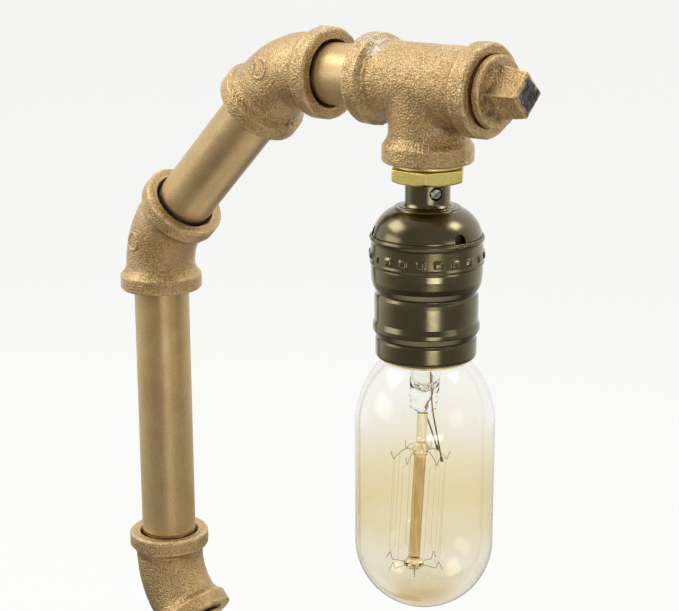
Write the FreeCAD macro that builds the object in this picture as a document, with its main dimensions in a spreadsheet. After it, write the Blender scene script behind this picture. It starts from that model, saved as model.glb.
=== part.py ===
import FreeCAD, Part
import Sketcher
import math
import os

# A table lamp made of half-inch pipe and malleable fittings. The pipe run lies in the XZ plane:
# it rises from a floor flange, leans back to an upright, leans forward again and ends in a tee
# whose branch points down and carries a lamp holder with a tubular filament bulb.
# The origin is on the resting face, on the floor flange's axis. +Z is up, +X is the bulb's side.

doc = FreeCAD.newDocument("pipe_lamp")
X_AXIS = FreeCAD.Vector(1, 0, 0)
Y_AXIS = FreeCAD.Vector(0, 1, 0)
Z_AXIS = FreeCAD.Vector(0, 0, 1)
WHOLE_TURN = 360.0
HALF_TURN = 180.0
QUARTER_TURN = 90.0
HEX_SIDES = 6
SQUARE_SIDES = 4
WIRE_SIDES = 6
NEARLY_PARALLEL = 0.9

# ---------------------------------------------------------------- driving dimensions, millimetres
DIMENSIONS = {
    # pipe and threads
    "pipe_od": (21.34, "outer diameter of half-inch pipe"),
    "pipe_wall": (2.77, "wall of the pipe"),
    "thread_gap": (0.05, "radial clearance of a nipple in its socket"),
    "engagement": (12.0, "length of a nipple inside a fitting"),
    "end_gap": (1.0, "space between a nipple's end and the bottom of its socket"),
    "end_chamfer": (0.8, "chamfer on a nipple's ends"),
    "mouth_flare": (1.2, "how much wider a fitting's mouth is than its thread"),
    "mouth_depth": (2.2, "depth of the flared mouth"),
    # fittings
    "body_od": (26.6, "outer diameter of a fitting between its bands"),
    "band_width": (7.0, "width of the band round a mouth"),
    "band_edge": (0.7, "bevel of a band's outer edge"),
    "band_slope": (1.3, "half the length of the slope from the body up to a band"),
    "elbow_band_od": (31.6, "band diameter of the elbows"),
    "elbow_reach": (21.3, "elbow, centre to mouth"),
    "elbow_bend": (29.0, "bend radius of an elbow's centre line"),
    "elbow_angle": (45.0, "turn of one elbow, degrees"),
    "tee_band_od": (30.8, "band diameter of the tees"),
    "tee_reach": (25.5, "tee, centre to mouth"),
    # visible lengths of the nipples
    "upright_shown": (101.4, "upright pipe between its fittings"),
    "upper_diagonal_shown": (56.0, "upper diagonal pipe between its fittings"),
    "lower_diagonal_shown": (56.0, "lower diagonal pipe between its fittings"),
    "short_shown": (16.6, "short nipple between the upper elbow and the tee"),
    "base_shown": (30.0, "base nipple between the base tee and the foot elbow"),
    "close_shown": (3.0, "close nipple between the flange and the base tee"),
    # floor flange and pad
    "flange_od": (89.0, "diameter of the floor flange"),
    "flange_plate": (6.5, "thickness of the flange's plate at its rim"),
    "flange_height": (19.0, "height of the flange with its hub"),
    "flange_hub_od": (33.0, "diameter of the hub"),
    "flange_fillet": (4.0, "fillet between hub and plate"),
    "flange_edge": (1.5, "bevel of the plate's and the hub's upper edges"),
    "flange_pitch": (66.7, "pitch circle of the screw holes"),
    "flange_hole": (7.2, "diameter of a screw hole"),
    "flange_count": (4, "number of screw holes"),
    "pad_thickness": (3.0, "thickness of the base pad"),
    "pad_inset": (1.5, "how far the pad's rim stays inside the flange's"),
    "pad_opening": (30.0, "opening in the middle of the pad"),
    # cord inlet
    "inlet_hex": (23.8, "hexagon of the inlet bushing across its flats"),
    "inlet_hex_height": (4.3, "height of that hexagon"),
    "inlet_bore": (10.5, "bore of the inlet bushing"),
    "grommet_bore": (7.0, "hole of the rubber grommet"),
    "grommet_lip": (2.2, "how far the grommet's lips stand over the bushing's bore"),
    "grommet_lip_thick": (1.8, "thickness of a lip"),
    # square-head plug
    "plug_gap": (0.9, "thread of the plug that shows between the tee and the plug's collar"),
    "plug_collar_od": (23.6, "diameter of the plug's round collar"),
    "plug_collar": (2.5, "height of that collar"),
    "plug_blend": (2.2, "fillet between the collar and the square head"),
    "plug_square": (12.4, "square of the plug's head across its flats, at its root"),
    "plug_head": (11.1, "height of the square head"),
    "plug_draft": (1.0, "how much smaller the head's outer end is, per side"),
    "plug_chamfer": (0.7, "chamfer round the head's outer end"),
    # bushing, lamp nipple and locknut
    "bushing_hex": (23.2, "hexagon of the brass bushing across its flats"),
    "bushing_hex_height": (4.6, "height of that hexagon"),
    "bushing_neck": (1.7, "plain round part of a bushing between the fitting and its hexagon"),
    "hex_chamfer": (0.9, "height of the turned chamfer on a hexagon's corners"),
    "hex_chamfer_width": (1.6, "width of that chamfer along the radius"),
    "lamp_nipple_od": (10.3, "outer diameter of the lamp nipple"),
    "lamp_nipple_bore": (7.0, "bore of the lamp nipple"),
    "lamp_nipple_grip": (9.0, "length of the lamp nipple inside the bushing"),
    "locknut_od": (14.0, "diameter of the locknut across its flats"),
    "locknut_thick": (2.4, "thickness of the locknut"),
    # socket cap
    "neck_od": (15.2, "diameter of the cap's neck"),
    "neck_length": (8.3, "length of the neck"),
    "neck_fillet": (0.8, "fillet between the neck and the step"),
    "cap_step_od": (22.4, "diameter of the step between neck and dome"),
    "cap_step": (0.7, "height of that step"),
    "dome_height": (9.0, "height of the dome above the collar"),
    "dome_arc": (12.0, "radius of the dome's outline"),
    "dome_od": (37.2, "diameter of the dome at the collar"),
    "cap_wall": (0.8, "wall of the cap"),
    "cap_skirt": (4.0, "length of the cap's skirt inside the collar"),
    "cap_bearing": (-14.5, "direction of one slot from +X, degrees"),
    "screw_bearing": (-29.0, "direction of the set screw from +X, degrees"),
    "screw_drop": (3.3, "set screw's axis below the neck's upper end"),
    "hex_bearing": (-54.0, "direction of one corner of the brass hexagon from +X, degrees"),
    "bead_bearing": (-39.5, "direction of one of the collar's bosses from +X, degrees"),
    "lead_bearing": (45.0, "direction of the lead wires from +X, degrees"),
    "slot_width": (4.0, "width of a slot in the dome"),
    "slot_arch": (2.3, "radius of the slot's arched end"),
    "slot_height": (3.4, "height of a slot"),
    "slot_count": (3, "number of slots"),
    "set_screw_od": (3.8, "diameter of the set screw"),
    "set_screw_proud": (0.7, "how far the set screw stands out of the neck"),
    "set_screw_slot": (0.8, "width of the screwdriver slot"),
    "set_screw_slot_depth": (0.6, "depth of the screwdriver slot"),
    # socket shell, listed from the collar down
    "shell_wall": (0.7, "wall of the shell"),
    "collar_od": (38.2, "diameter of the dimpled collar"),
    "collar_height": (9.7, "height of the collar"),
    "bead_proud": (0.65, "how far the collar's bosses stand out"),
    "bead_size": (3.0, "width of one boss"),
    "bead_drop": (6.3, "row of bosses below the collar's upper edge"),
    "bead_count": (20, "number of bosses round the collar"),
    "upper_od": (37.4, "diameter of the shell under the collar"),
    "upper_height": (8.6, "height of that part"),
    "middle_od": (35.2, "diameter of the shell's middle"),
    "middle_height": (11.6, "height of the middle"),
    "ridge_od": (36.0, "diameter of the rolled ridge"),
    "ridge_height": (4.4, "height of the ridge"),
    "lower_od": (34.4, "diameter of the shell's lower end"),
    "lower_height": (9.0, "height of the lower end"),
    "lip_curl": (1.3, "radius of the shell's lip, rolled inwards"),
    "groove_depth": (0.7, "depth of the grooves between these parts"),
    "collar_edge": (0.35, "bevel of the collar's upper edge"),
    # holder's inner parts
    "sleeve_wall": (0.5, "wall of the fibre insulating sleeve"),
    "sleeve_gap": (0.15, "clearance round the sleeve"),
    "core_top_gap": (6.5, "space between the dome's top and the core"),
    "core_height": (20.2, "height of the moulded core"),
    "core_edge": (0.7, "bevel of the core's upper edge"),
    "core_wire_hole": (3.0, "depth of the wire's hole in the core"),
    "screw_shell_wall": (0.6, "wall of the brass screw shell"),
    "screw_shell_height": (24.5, "height of the screw shell"),
    "screw_gap": (0.4, "radial clearance between bulb cap and screw shell"),
    "contact_width": (5.0, "width of the centre contact spring"),
    "contact_strip_count": (2, "halves of that spring"),
    "contact_foot": (1.25, "flat end of the spring, at its crown and at its foot"),
    "contact_thick": (0.5, "thickness of the centre contact spring"),
    "core_gap": (0.3, "clearance round the core and under the centre contact"),
    "terminal_od": (4.4, "diameter of a terminal screw's head"),
    "terminal_head": (1.8, "height of a terminal screw's head"),
    "terminal_slot": (0.6, "width and depth of a terminal screw's slot"),
    "terminal_spread": (10.4, "distance of a terminal screw from the axis"),
    # turn switch
    "rotor_start": (5.0, "rotor's inner end, from the holder's axis"),
    "switch_drop": (3.4, "switch axis below the collar"),
    "stem_od": (3.0, "diameter of the switch stem"),
    "stem_gap": (0.35, "clearance of the stem in the shell and sleeve"),
    "knob_od": (9.6, "diameter of the knob"),
    "knob_length": (11.0, "length of the knob"),
    "knob_standoff": (3.2, "space between shell and knob"),
    "knob_edge": (0.9, "bevel of the knob's edges"),
    "knob_ribs": (14, "number of ribs round the knob"),
    "rib_depth": (0.45, "depth of the grooves between the ribs"),
    "rotor_square": (3.3, "square of the switch rotor across its flats"),
    "rotor_bore": (5.4, "bore of the core round the switch rotor"),
    "rotor_length": (6.0, "length of the switch rotor"),
    "rotor_gap": (0.3, "space behind the rotor's inner end"),
    "switch_bearing": (132.0, "direction of the switch axis from +X, degrees"),
    # bulb
    "bulb_od": (48.0, "diameter of the tubular glass"),
    "bulb_length": (90.0, "glass below the shell's lip"),
    "bulb_shoulder": (32.0, "radius of the glass shoulder"),
    "shoulder_drop": (23.0, "shoulder's end below the shell's lip"),
    "bulb_wall": (0.8, "wall of the glass"),
    "bulb_neck_od": (25.4, "diameter of the glass neck in the cap"),
    "bulb_cap_od": (26.2, "diameter of the bulb's screw cap"),
    "bulb_cap_wall": (0.4, "wall of the screw cap"),
    "bulb_cap_height": (18.3, "height of the screw cap"),
    "bulb_cap_seat": (17.4, "diameter of the screw cap's small end"),
    "bulb_cap_taper": (2.8, "height of the taper at that end"),
    "glass_inset": (9.15, "how far the glass neck and stem reach into the screw cap"),
    "bulb_cap_inset": (2.0, "cap's rim above the shell's lip"),
    "insulator_height": (2.6, "height of the black glass insulator"),
    "tip_od": (9.5, "diameter of the bottom contact"),
    "tip_height": (1.3, "height of the bottom contact"),
    "tip_dome": (1.3, "width of the sloping rim of the bottom contact"),
    "stem_tube_od": (11.0, "diameter of the flared glass stem"),
    "stem_length": (19.5, "glass stem below the shell's lip"),
    "pinch_width": (9.0, "width of the stem's flat pinch"),
    "pinch_thick": (4.2, "thickness of the pinch"),
    "pinch_length": (9.0, "length of the pinch"),
    "rod_od": (4.2, "diameter of the support rod"),
    "upper_button": (33.0, "upper button below the shell's lip"),
    "lower_button": (75.5, "lower button below the shell's lip"),
    "upper_button_od": (5.6, "diameter of the upper button"),
    "lower_button_od": (7.2, "diameter of the lower button"),
    "button_height": (4.2, "height of a button"),
    "lower_button_rim": (2.1, "height of the lower button's straight rim"),
    "support_wire": (0.4, "diameter of a support wire"),
    "support_reach": (10.5, "length of a support wire from the axis"),
    "support_count": (6, "support wires on one button"),
    "hook_reach": (9.1, "bend of a support wire's hook from the axis"),
    "hook_depth": (3.0, "depth of a support wire's hook"),
    "filament_wire": (0.16, "diameter of the filament"),
    "filament_rest": (0.9, "filament's turn from the bottom of its hook"),
    "filament_drop": (2.2, "how far the filament's legs start beyond its turn"),
    "lead_wire": (0.7, "diameter of a lead wire"),
    # supply wires in the pipes
    "wire_od": (3.0, "diameter of the supply wire"),
    "wire_bend": (9.0, "bend radius of the supply wire in a tee"),
    "wire_gap": (4.0, "space between the cord inlet and the supply wire's end"),
}

sheet = doc.addObject("Spreadsheet::Sheet", "Sizes")
for row, (alias, (value, note)) in enumerate(DIMENSIONS.items(), start=1):
    sheet.set("A%d" % row, alias)
    sheet.set("B%d" % row, str(value))
    sheet.set("C%d" % row, note)
    sheet.setAlias("B%d" % row, alias)
doc.recompute()


class Size:
    """A number that also carries its own sheet formula, so that one term gives both."""

    def __init__(self, value, text):
        self.value = float(value)
        self.text = text

    def __add__(self, other):
        other = as_size(other)
        return Size(self.value + other.value, "(%s + %s)" % (self.text, other.text))

    def __sub__(self, other):
        other = as_size(other)
        return Size(self.value - other.value, "(%s - %s)" % (self.text, other.text))

    def __mul__(self, other):
        other = as_size(other)
        return Size(self.value * other.value, "(%s * %s)" % (self.text, other.text))

    def __truediv__(self, other):
        other = as_size(other)
        return Size(self.value / other.value, "(%s / %s)" % (self.text, other.text))


def as_size(number):
    """Turn a plain number into a Size."""
    if isinstance(number, Size):
        return number
    return Size(number, "%.9g" % number)


def dim(alias):
    """The Size of one sheet cell."""
    return Size(sheet.get(alias), "Sizes." + alias)


def root(size):
    """The square root of a Size."""
    return Size(math.sqrt(size.value), "sqrt(%s)" % size.text)


def tangent(degrees):
    """The tangent of an angle that is given as a Size in degrees."""
    return Size(math.tan(math.radians(degrees.value)), "tan(%s * 1 deg)" % degrees.text)


def bind(feature, prop, size):
    """Set a property to a Size, number and formula."""
    setattr(feature, prop, type(getattr(feature, prop))(size.value))
    feature.setExpression(prop, size.text)


# ---------------------------------------------------------------- drawing helpers
ZERO = as_size(0)


def new_body(name):
    """An empty PartDesign body whose label is the node's name."""
    body = doc.addObject("PartDesign::Body", name)
    body.Label = name
    return body


def origin_plane(body, role):
    """One of a body's own origin planes."""
    return next(f for f in body.Origin.OriginFeatures if f.Role == role)


def new_sketch(body, role, tilt=0.0, lift=None, spin=0.0):
    """A sketch on an origin plane: turned by tilt in its plane, or lifted along its normal."""
    sketch = body.newObject("Sketcher::SketchObject", body.Name + "_sketch")
    sketch.AttachmentSupport = (origin_plane(body, role), [""])
    sketch.MapMode = "FlatFace"
    turn = FreeCAD.Rotation(Z_AXIS, tilt)
    if spin:
        turn = FreeCAD.Rotation(Y_AXIS, spin) * turn
    sketch.AttachmentOffset = FreeCAD.Placement(FreeCAD.Vector(0, 0, lift.value if lift else 0), turn)
    if lift:
        sketch.setExpression("AttachmentOffset.Base.z", lift.text)
    return sketch


def pin_point(sketch, curve, end, point):
    """Fix one end of a sketch curve at a point given in sizes."""
    for kind, axis, coordinate in (("DistanceX", -2, point[0]), ("DistanceY", -1, point[1])):
        if abs(coordinate.value) < 1e-9:
            sketch.addConstraint(Sketcher.Constraint("PointOnObject", curve, end, axis))
        else:
            number = sketch.addConstraint(
                Sketcher.Constraint(kind, -1, 1, curve, end, coordinate.value))
            sketch.setExpression("Constraints[%d]" % number, coordinate.text)


def arc_between(start, stop, radius, side):
    """An arc from start to stop that bulges to the right (1) or left (-1) of that direction."""
    chord = stop - start
    middle = (start + stop) * 0.5
    height = math.sqrt(max(radius ** 2 - (chord.Length / 2) ** 2, 0.0))
    across = FreeCAD.Vector(chord.y, -chord.x, 0).normalize()
    centre = middle - across * (side * height)
    top = centre + across * (side * radius)
    return Part.Arc(start, top, stop)


def draw_profile(sketch, corners):
    """A closed outline, drawn counter-clockwise through corners (x, y).

    A corner (x, y, radius, side) starts an arc, which bulges out of the outline (1) or into it (-1).
    """
    points = [FreeCAD.Vector(corner[0].value, corner[1].value, 0) for corner in corners]
    for number, corner in enumerate(corners):
        start = points[number]
        stop = points[(number + 1) % len(points)]
        if len(corner) == 2:
            curve = sketch.addGeometry(Part.LineSegment(start, stop), False)
            first_end, last_end = 1, 2
        else:
            radius, side = corner[2], corner[3]
            curve = sketch.addGeometry(arc_between(start, stop, radius.value, side), False)
            first_end, last_end = (1, 2) if side > 0 else (2, 1)
            index = sketch.addConstraint(Sketcher.Constraint("Radius", curve, radius.value))
            sketch.setExpression("Constraints[%d]" % index, radius.text)
        if number:
            sketch.addConstraint(
                Sketcher.Constraint("Coincident", curve - 1, previous_last, curve, first_end))
        else:
            opening_end = first_end
        pin_point(sketch, curve, first_end, corner[:2])
        previous_last = last_end
    sketch.addConstraint(
        Sketcher.Constraint("Coincident", len(corners) - 1, previous_last, 0, opening_end))


def turn_profile(body, corners, cut=False, tilt=0.0):
    """Turn an outline of (radius, height) corners about the sketch's upright axis."""
    sketch = new_sketch(body, "XZ_Plane", tilt)
    draw_profile(sketch, corners)
    kind = "PartDesign::Groove" if cut else "PartDesign::Revolution"
    feature = body.newObject(kind, body.Name + ("_groove" if cut else "_turned"))
    feature.Profile = sketch
    feature.ReferenceAxis = (sketch, ["V_Axis"])
    feature.Angle = WHOLE_TURN
    sketch.Visibility = False
    return feature


def turned_body(name, corners):
    """A whole piece that is one turned outline."""
    body = new_body(name)
    turn_profile(body, corners)
    return body


def draw_circle(sketch, diameter, x=ZERO, y=ZERO):
    """A circle with its centre pinned at x, y."""
    centre = FreeCAD.Vector(x.value, y.value, 0)
    curve = sketch.addGeometry(Part.Circle(centre, Z_AXIS, diameter.value / 2), False)
    index = sketch.addConstraint(Sketcher.Constraint("Diameter", curve, diameter.value))
    sketch.setExpression("Constraints[%d]" % index, diameter.text)
    pin_point(sketch, curve, 3, (x, y))
    return curve


def corner_radius(across_flats, sides):
    """The distance of a regular polygon's corners from its middle."""
    return across_flats / 2 / math.cos(math.pi / sides)


def draw_polygon(sketch, across_flats, sides):
    """A regular polygon round the sketch's origin, sized across its flats."""
    outer = corner_radius(across_flats, sides)
    corners = []
    for number in range(sides):
        angle = 2 * math.pi * (number + 0.5) / sides
        corners.append((outer * math.cos(angle), outer * math.sin(angle)))
    draw_profile(sketch, corners)


def pad_sketch(body, sketch, length, cut=False, reverse=False):
    """Pad or pocket a sketch by a length along its normal, or against it."""
    kind = "PartDesign::Pocket" if cut else "PartDesign::Pad"
    feature = body.newObject(kind, body.Name + ("_pocket" if cut else "_pad"))
    feature.Profile = sketch
    bind(feature, "Length", length)
    feature.Reversed = reverse
    sketch.Visibility = False
    return feature


def ring_pattern(body, feature, count):
    """Repeat a feature round the body's Z axis."""
    pattern = body.newObject("PartDesign::PolarPattern", body.Name + "_ring")
    pattern.Originals = [feature]
    pattern.Axis = (origin_plane(body, "Z_Axis"), [""])
    pattern.Angle = WHOLE_TURN
    bind(pattern, "Occurrences", count)
    body.Tip = pattern
    return pattern


def solid_piece(name, shape):
    """A piece whose shape is made by Part's own functions."""
    piece = doc.addObject("Part::Feature", name)
    piece.Label = name
    piece.Shape = shape
    return piece


# ---------------------------------------------------------------- shared values
pipe_r = dim("pipe_od") / 2
pipe_bore_r = pipe_r - dim("pipe_wall")
socket_r = pipe_r + dim("thread_gap")
socket_depth = dim("engagement") + dim("end_gap")
mouth_r = socket_r + dim("mouth_flare")
body_r = dim("body_od") / 2


# ---------------------------------------------------------------- pipe pieces
def nipple(name, shown):
    """A pipe nipple along +Z from 0: the shown length and one engagement at each end."""
    length = shown + dim("engagement") * 2
    chamfer = dim("end_chamfer")
    return turned_body(name, [
        (pipe_bore_r, ZERO),
        (pipe_r - chamfer, ZERO),
        (pipe_r, chamfer),
        (pipe_r, length - chamfer),
        (pipe_r - chamfer, length),
        (pipe_bore_r, length),
    ])


def leg_outline(start, reach, band_r):
    """Outside of one leg of a fitting: its neck and the bevelled band round its mouth."""
    edge = dim("band_edge")
    slope = dim("band_slope")
    band_start = reach - dim("band_width")
    return [
        (ZERO, start),
        (body_r, start),
        (body_r, band_start - slope),
        (band_r, band_start + slope),
        (band_r, reach - edge),
        (band_r - edge, reach),
        (ZERO, reach),
    ]


def leg_socket(reach):
    """Inside of one leg: its threaded socket and flared mouth."""
    return [
        (ZERO, reach - socket_depth),
        (socket_r, reach - socket_depth),
        (socket_r, reach - dim("mouth_depth")),
        (mouth_r, reach),
        (ZERO, reach),
    ]


def bend(body, diameter, cut=False):
    """The curved middle of an elbow: a disc swung about the bend's axis, up and towards +X."""
    angle = dim("elbow_angle")
    drop = dim("elbow_bend") * tangent(angle / 2)
    sketch = new_sketch(body, "XY_Plane", lift=ZERO - drop)
    draw_circle(sketch, diameter)
    reach = dim("elbow_bend")
    low = FreeCAD.Vector(reach.value, -reach.value, 0)
    high = FreeCAD.Vector(reach.value, reach.value, 0)
    axis = sketch.addGeometry(Part.LineSegment(low, high), True)
    pin_point(sketch, axis, 2, (reach, reach))
    sketch.addConstraint(Sketcher.Constraint("Symmetric", axis, 1, axis, 2, -1))
    kind = "PartDesign::Groove" if cut else "PartDesign::Revolution"
    feature = body.newObject(kind, body.Name + "_bend")
    feature.Profile = sketch
    feature.ReferenceAxis = (sketch, ["Axis0"])
    bind(feature, "Angle", angle)
    feature.Reversed = False
    sketch.Visibility = False
    return feature


def elbow(name):
    """An elbow with its centre at the origin: one mouth down, one up and towards +X."""
    body = new_body(name)
    angle = dim("elbow_angle")
    start = dim("elbow_bend") * tangent(angle / 2)
    reach = dim("elbow_reach")
    band_r = dim("elbow_band_od") / 2
    bend(body, dim("body_od"))
    for heading in (HALF_TURN, angle.value):
        turn_profile(body, leg_outline(start, reach, band_r), tilt=-heading)
    for heading in (HALF_TURN, angle.value):
        turn_profile(body, leg_socket(reach), cut=True, tilt=-heading)
    bend(body, pipe_bore_r * 2, cut=True)
    return body


def tee(name):
    """A tee with its centre at the origin, its run along Z and its branch towards +X."""
    body = new_body(name)
    reach = dim("tee_reach")
    band_r = dim("tee_band_od") / 2
    for heading in (0.0, HALF_TURN, QUARTER_TURN):
        turn_profile(body, leg_outline(ZERO, reach, band_r), tilt=-heading)
    for heading in (0.0, HALF_TURN, QUARTER_TURN):
        turn_profile(body, leg_socket(reach), cut=True, tilt=-heading)
    for heading, start in ((0.0, ZERO - reach), (QUARTER_TURN, ZERO)):
        waterway = [(ZERO, start), (pipe_bore_r, start), (pipe_bore_r, reach), (ZERO, reach)]
        turn_profile(body, waterway, cut=True, tilt=-heading)
    return body


def floor_flange():
    """The floor flange, plate down on z = 0, threaded right through, with its screw holes."""
    body = new_body("floor_flange")
    rim_r = dim("flange_od") / 2
    hub_r = dim("flange_hub_od") / 2
    plate = dim("flange_plate")
    height = dim("flange_height")
    edge = dim("flange_edge")
    fillet = dim("flange_fillet")
    turn_profile(body, [
        (socket_r, ZERO),
        (rim_r, ZERO),
        (rim_r, plate - edge),
        (rim_r - edge, plate),
        (hub_r + fillet, plate, fillet, -1),
        (hub_r, plate + fillet),
        (hub_r, height - edge),
        (hub_r - edge, height),
        (mouth_r, height),
        (socket_r, height - dim("mouth_depth")),
    ])
    sketch = new_sketch(body, "XY_Plane", tilt=HALF_TURN / dim("flange_count").value)
    draw_circle(sketch, dim("flange_hole"), x=dim("flange_pitch") / 2)
    hole = pad_sketch(body, sketch, plate, cut=True, reverse=True)
    ring_pattern(body, hole, dim("flange_count"))
    return body


def base_pad():
    """The round pad under the flange, with the flange's screw holes and a middle opening."""
    body = new_body("base_pad")
    rim_r = dim("flange_od") / 2 - dim("pad_inset")
    thick = dim("pad_thickness")
    turn_profile(body, [
        (dim("pad_opening") / 2, ZERO),
        (rim_r, ZERO),
        (rim_r, thick),
        (dim("pad_opening") / 2, thick),
    ])
    sketch = new_sketch(body, "XY_Plane", tilt=HALF_TURN / dim("flange_count").value)
    draw_circle(sketch, dim("flange_hole"), x=dim("flange_pitch") / 2)
    hole = pad_sketch(body, sketch, thick, cut=True, reverse=True)
    ring_pattern(body, hole, dim("flange_count"))
    return body


def hex_bushing(name, across_flats, height, bore_r):
    """A bushing along +Z: its thread from -engagement to 0, a plain neck, and its hexagon."""
    body = new_body(name)
    grip = dim("engagement")
    hex_start = dim("bushing_neck")
    hex_end = hex_start + height
    corner_r = corner_radius(across_flats, HEX_SIDES)
    chamfer = dim("hex_chamfer")
    flat_r = corner_r - dim("hex_chamfer_width")
    beyond = corner_r + chamfer
    sketch = new_sketch(body, "XY_Plane", lift=hex_start)
    draw_polygon(sketch, across_flats, HEX_SIDES)
    pad_sketch(body, sketch, height)
    turn_profile(body, [
        (flat_r, hex_end),
        (corner_r, hex_end - chamfer),
        (beyond, hex_end - chamfer),
        (beyond, hex_end),
    ], cut=True)
    shank = new_sketch(body, "XY_Plane", lift=hex_start)
    draw_circle(shank, pipe_r * 2)
    pad_sketch(body, shank, hex_start + grip, reverse=True)
    bore = new_sketch(body, "XY_Plane", lift=hex_end)
    draw_circle(bore, bore_r * 2)
    pad_sketch(body, bore, hex_end + grip, cut=True)
    return body


def square_plug():
    """The plug along +Z: its thread from -engagement, a round collar and the tapered square head."""
    body = new_body("square_plug")
    collar_start = dim("plug_gap")
    collar_end = collar_start + dim("plug_collar")
    collar_r = dim("plug_collar_od") / 2
    head_end = collar_end + dim("plug_head")
    blend = dim("plug_blend")
    square = dim("plug_square")
    chamfer = dim("plug_chamfer")
    turn_profile(body, [
        (ZERO, ZERO - dim("engagement")),
        (pipe_r, ZERO - dim("engagement")),
        (pipe_r, collar_start),
        (collar_r, collar_start),
        (collar_r, collar_end),
        (square / 2 + blend, collar_end, blend, -1),
        (square / 2, collar_end + blend),
        (ZERO, collar_end + blend),
    ])
    outer = square - dim("plug_draft") * 2
    sections = []
    for level, width in ((collar_end, square), (head_end - chamfer, outer),
                         (head_end, outer - chamfer * 2)):
        sketch = new_sketch(body, "XY_Plane", lift=level)
        draw_polygon(sketch, width, SQUARE_SIDES)
        sections.append(sketch)
    head = body.newObject("PartDesign::AdditiveLoft", "square_plug_head")
    head.Profile = sections[0]
    head.Sections = sections[1:]
    head.Ruled = True
    return body


def inlet_grommet(bore_r):
    """The rubber grommet in the inlet bushing's bore, a lip over its hexagon's end."""
    hole_r = dim("grommet_bore") / 2
    lip_r = bore_r + dim("grommet_lip")
    lip = dim("grommet_lip_thick")
    depth = dim("engagement") + dim("bushing_neck") + dim("inlet_hex_height")
    return turned_body("inlet_grommet", [
        (hole_r, ZERO),
        (bore_r, ZERO),
        (bore_r, depth),
        (lip_r, depth),
        (lip_r, depth + lip),
        (hole_r, depth + lip),
    ])


# ---------------------------------------------------------------- stations along the lamp holder
# Heights are measured from the upper tee's centre along its branch, and grow towards the bulb.
neck_top = dim("tee_reach") + dim("bushing_neck") + dim("bushing_hex_height")
neck_end = neck_top + dim("neck_length")
set_screw_level = neck_top + dim("screw_drop")
dome_top = neck_end + dim("cap_step")
collar_top = dome_top + dim("dome_height")
upper_top = collar_top + dim("collar_height")
middle_top = upper_top + dim("upper_height")
ridge_top = middle_top + dim("middle_height")
lower_top = ridge_top + dim("ridge_height")
lip = lower_top + dim("lower_height")
core_top = dome_top + dim("core_top_gap")
core_end = core_top + dim("core_height")
switch_level = upper_top + dim("switch_drop")
cap_rim = lip - dim("bulb_cap_inset")
cap_start = cap_rim - dim("bulb_cap_height")
glass_start = cap_start + dim("glass_inset")
tip_start = cap_start - dim("insulator_height") - dim("tip_height")

lamp_nipple_r = dim("lamp_nipple_od") / 2
collar_r = dim("collar_od") / 2
upper_r = dim("upper_od") / 2
middle_r = dim("middle_od") / 2
lower_r = dim("lower_od") / 2
shell_inner_r = lower_r - dim("groove_depth") - dim("shell_wall")
collar_inner_r = collar_r - dim("shell_wall")
sleeve_r = shell_inner_r - dim("sleeve_gap")
core_r = sleeve_r - dim("sleeve_wall") - dim("core_gap")
stem_hole_r = dim("stem_od") / 2 + dim("stem_gap")
bulb_cap_r = dim("bulb_cap_od") / 2
bulb_cap_seat_r = dim("bulb_cap_seat") / 2
screw_shell_r = bulb_cap_r + dim("screw_gap")


def bulge_radius(bulge, half_chord):
    """Radius of an arc that stands out by bulge from its chord."""
    return (bulge * bulge + half_chord * half_chord) / 2 / bulge


# ---------------------------------------------------------------- lamp holder pieces
def lamp_nipple():
    """The threaded tube that joins the brass bushing to the socket cap."""
    start = neck_top - dim("lamp_nipple_grip")
    end = dome_top + dim("locknut_thick") + dim("cap_wall")
    return turned_body("lamp_nipple", [
        (dim("lamp_nipple_bore") / 2, start),
        (lamp_nipple_r, start),
        (lamp_nipple_r, end),
        (dim("lamp_nipple_bore") / 2, end),
    ])


def lamp_locknut():
    """The thin hexagon nut on the lamp nipple's end, inside the cap."""
    body = new_body("lamp_locknut")
    sketch = new_sketch(body, "XY_Plane", lift=dome_top + dim("cap_wall"))
    draw_polygon(sketch, dim("locknut_od"), HEX_SIDES)
    draw_circle(sketch, (lamp_nipple_r + dim("thread_gap")) * 2)
    pad_sketch(body, sketch, dim("locknut_thick"))
    return body


def socket_cap():
    """The cap: neck, small step, dome with three slots, and a skirt inside the collar."""
    body = new_body("socket_cap")
    wall = dim("cap_wall")
    neck_r = dim("neck_od") / 2
    step_r = dim("cap_step_od") / 2
    dome_r = dim("dome_od") / 2
    bore_r = lamp_nipple_r + dim("thread_gap")
    skirt_r = collar_inner_r - dim("thread_gap")
    skirt_end = collar_top + dim("cap_skirt")
    inner_top = dome_top + wall
    dome_arc = dim("dome_arc")
    fillet = dim("neck_fillet")
    turn_profile(body, [
        (bore_r, neck_top),
        (neck_r, neck_top),
        (neck_r, neck_end - fillet, fillet, -1),
        (neck_r + fillet, neck_end),
        (step_r, neck_end),
        (step_r, dome_top, dome_arc, 1),
        (dome_r, collar_top),
        (skirt_r, collar_top),
        (skirt_r, skirt_end),
        (skirt_r - wall, skirt_end),
        (skirt_r - wall, collar_top, dome_arc - wall, -1),
        (step_r - wall, inner_top),
        (bore_r, inner_top),
    ])
    sketch = new_sketch(body, "YZ_Plane")
    half = dim("slot_width") / 2
    arch = collar_top - dim("slot_height") + half
    draw_profile(sketch, [(ZERO - half, arch, dim("slot_arch"), 1), (half, arch),
                          (half, collar_top), (ZERO - half, collar_top)])
    slot = pad_sketch(body, sketch, dome_r + wall, cut=True, reverse=True)
    ring_pattern(body, slot, dim("slot_count"))
    aside = dim("cap_bearing").value - dim("screw_bearing").value
    hole = new_sketch(body, "YZ_Plane", spin=aside)
    draw_circle(hole, dim("set_screw_od"), y=set_screw_level)
    pad_sketch(body, hole, step_r, cut=True, reverse=True)
    return body


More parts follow.
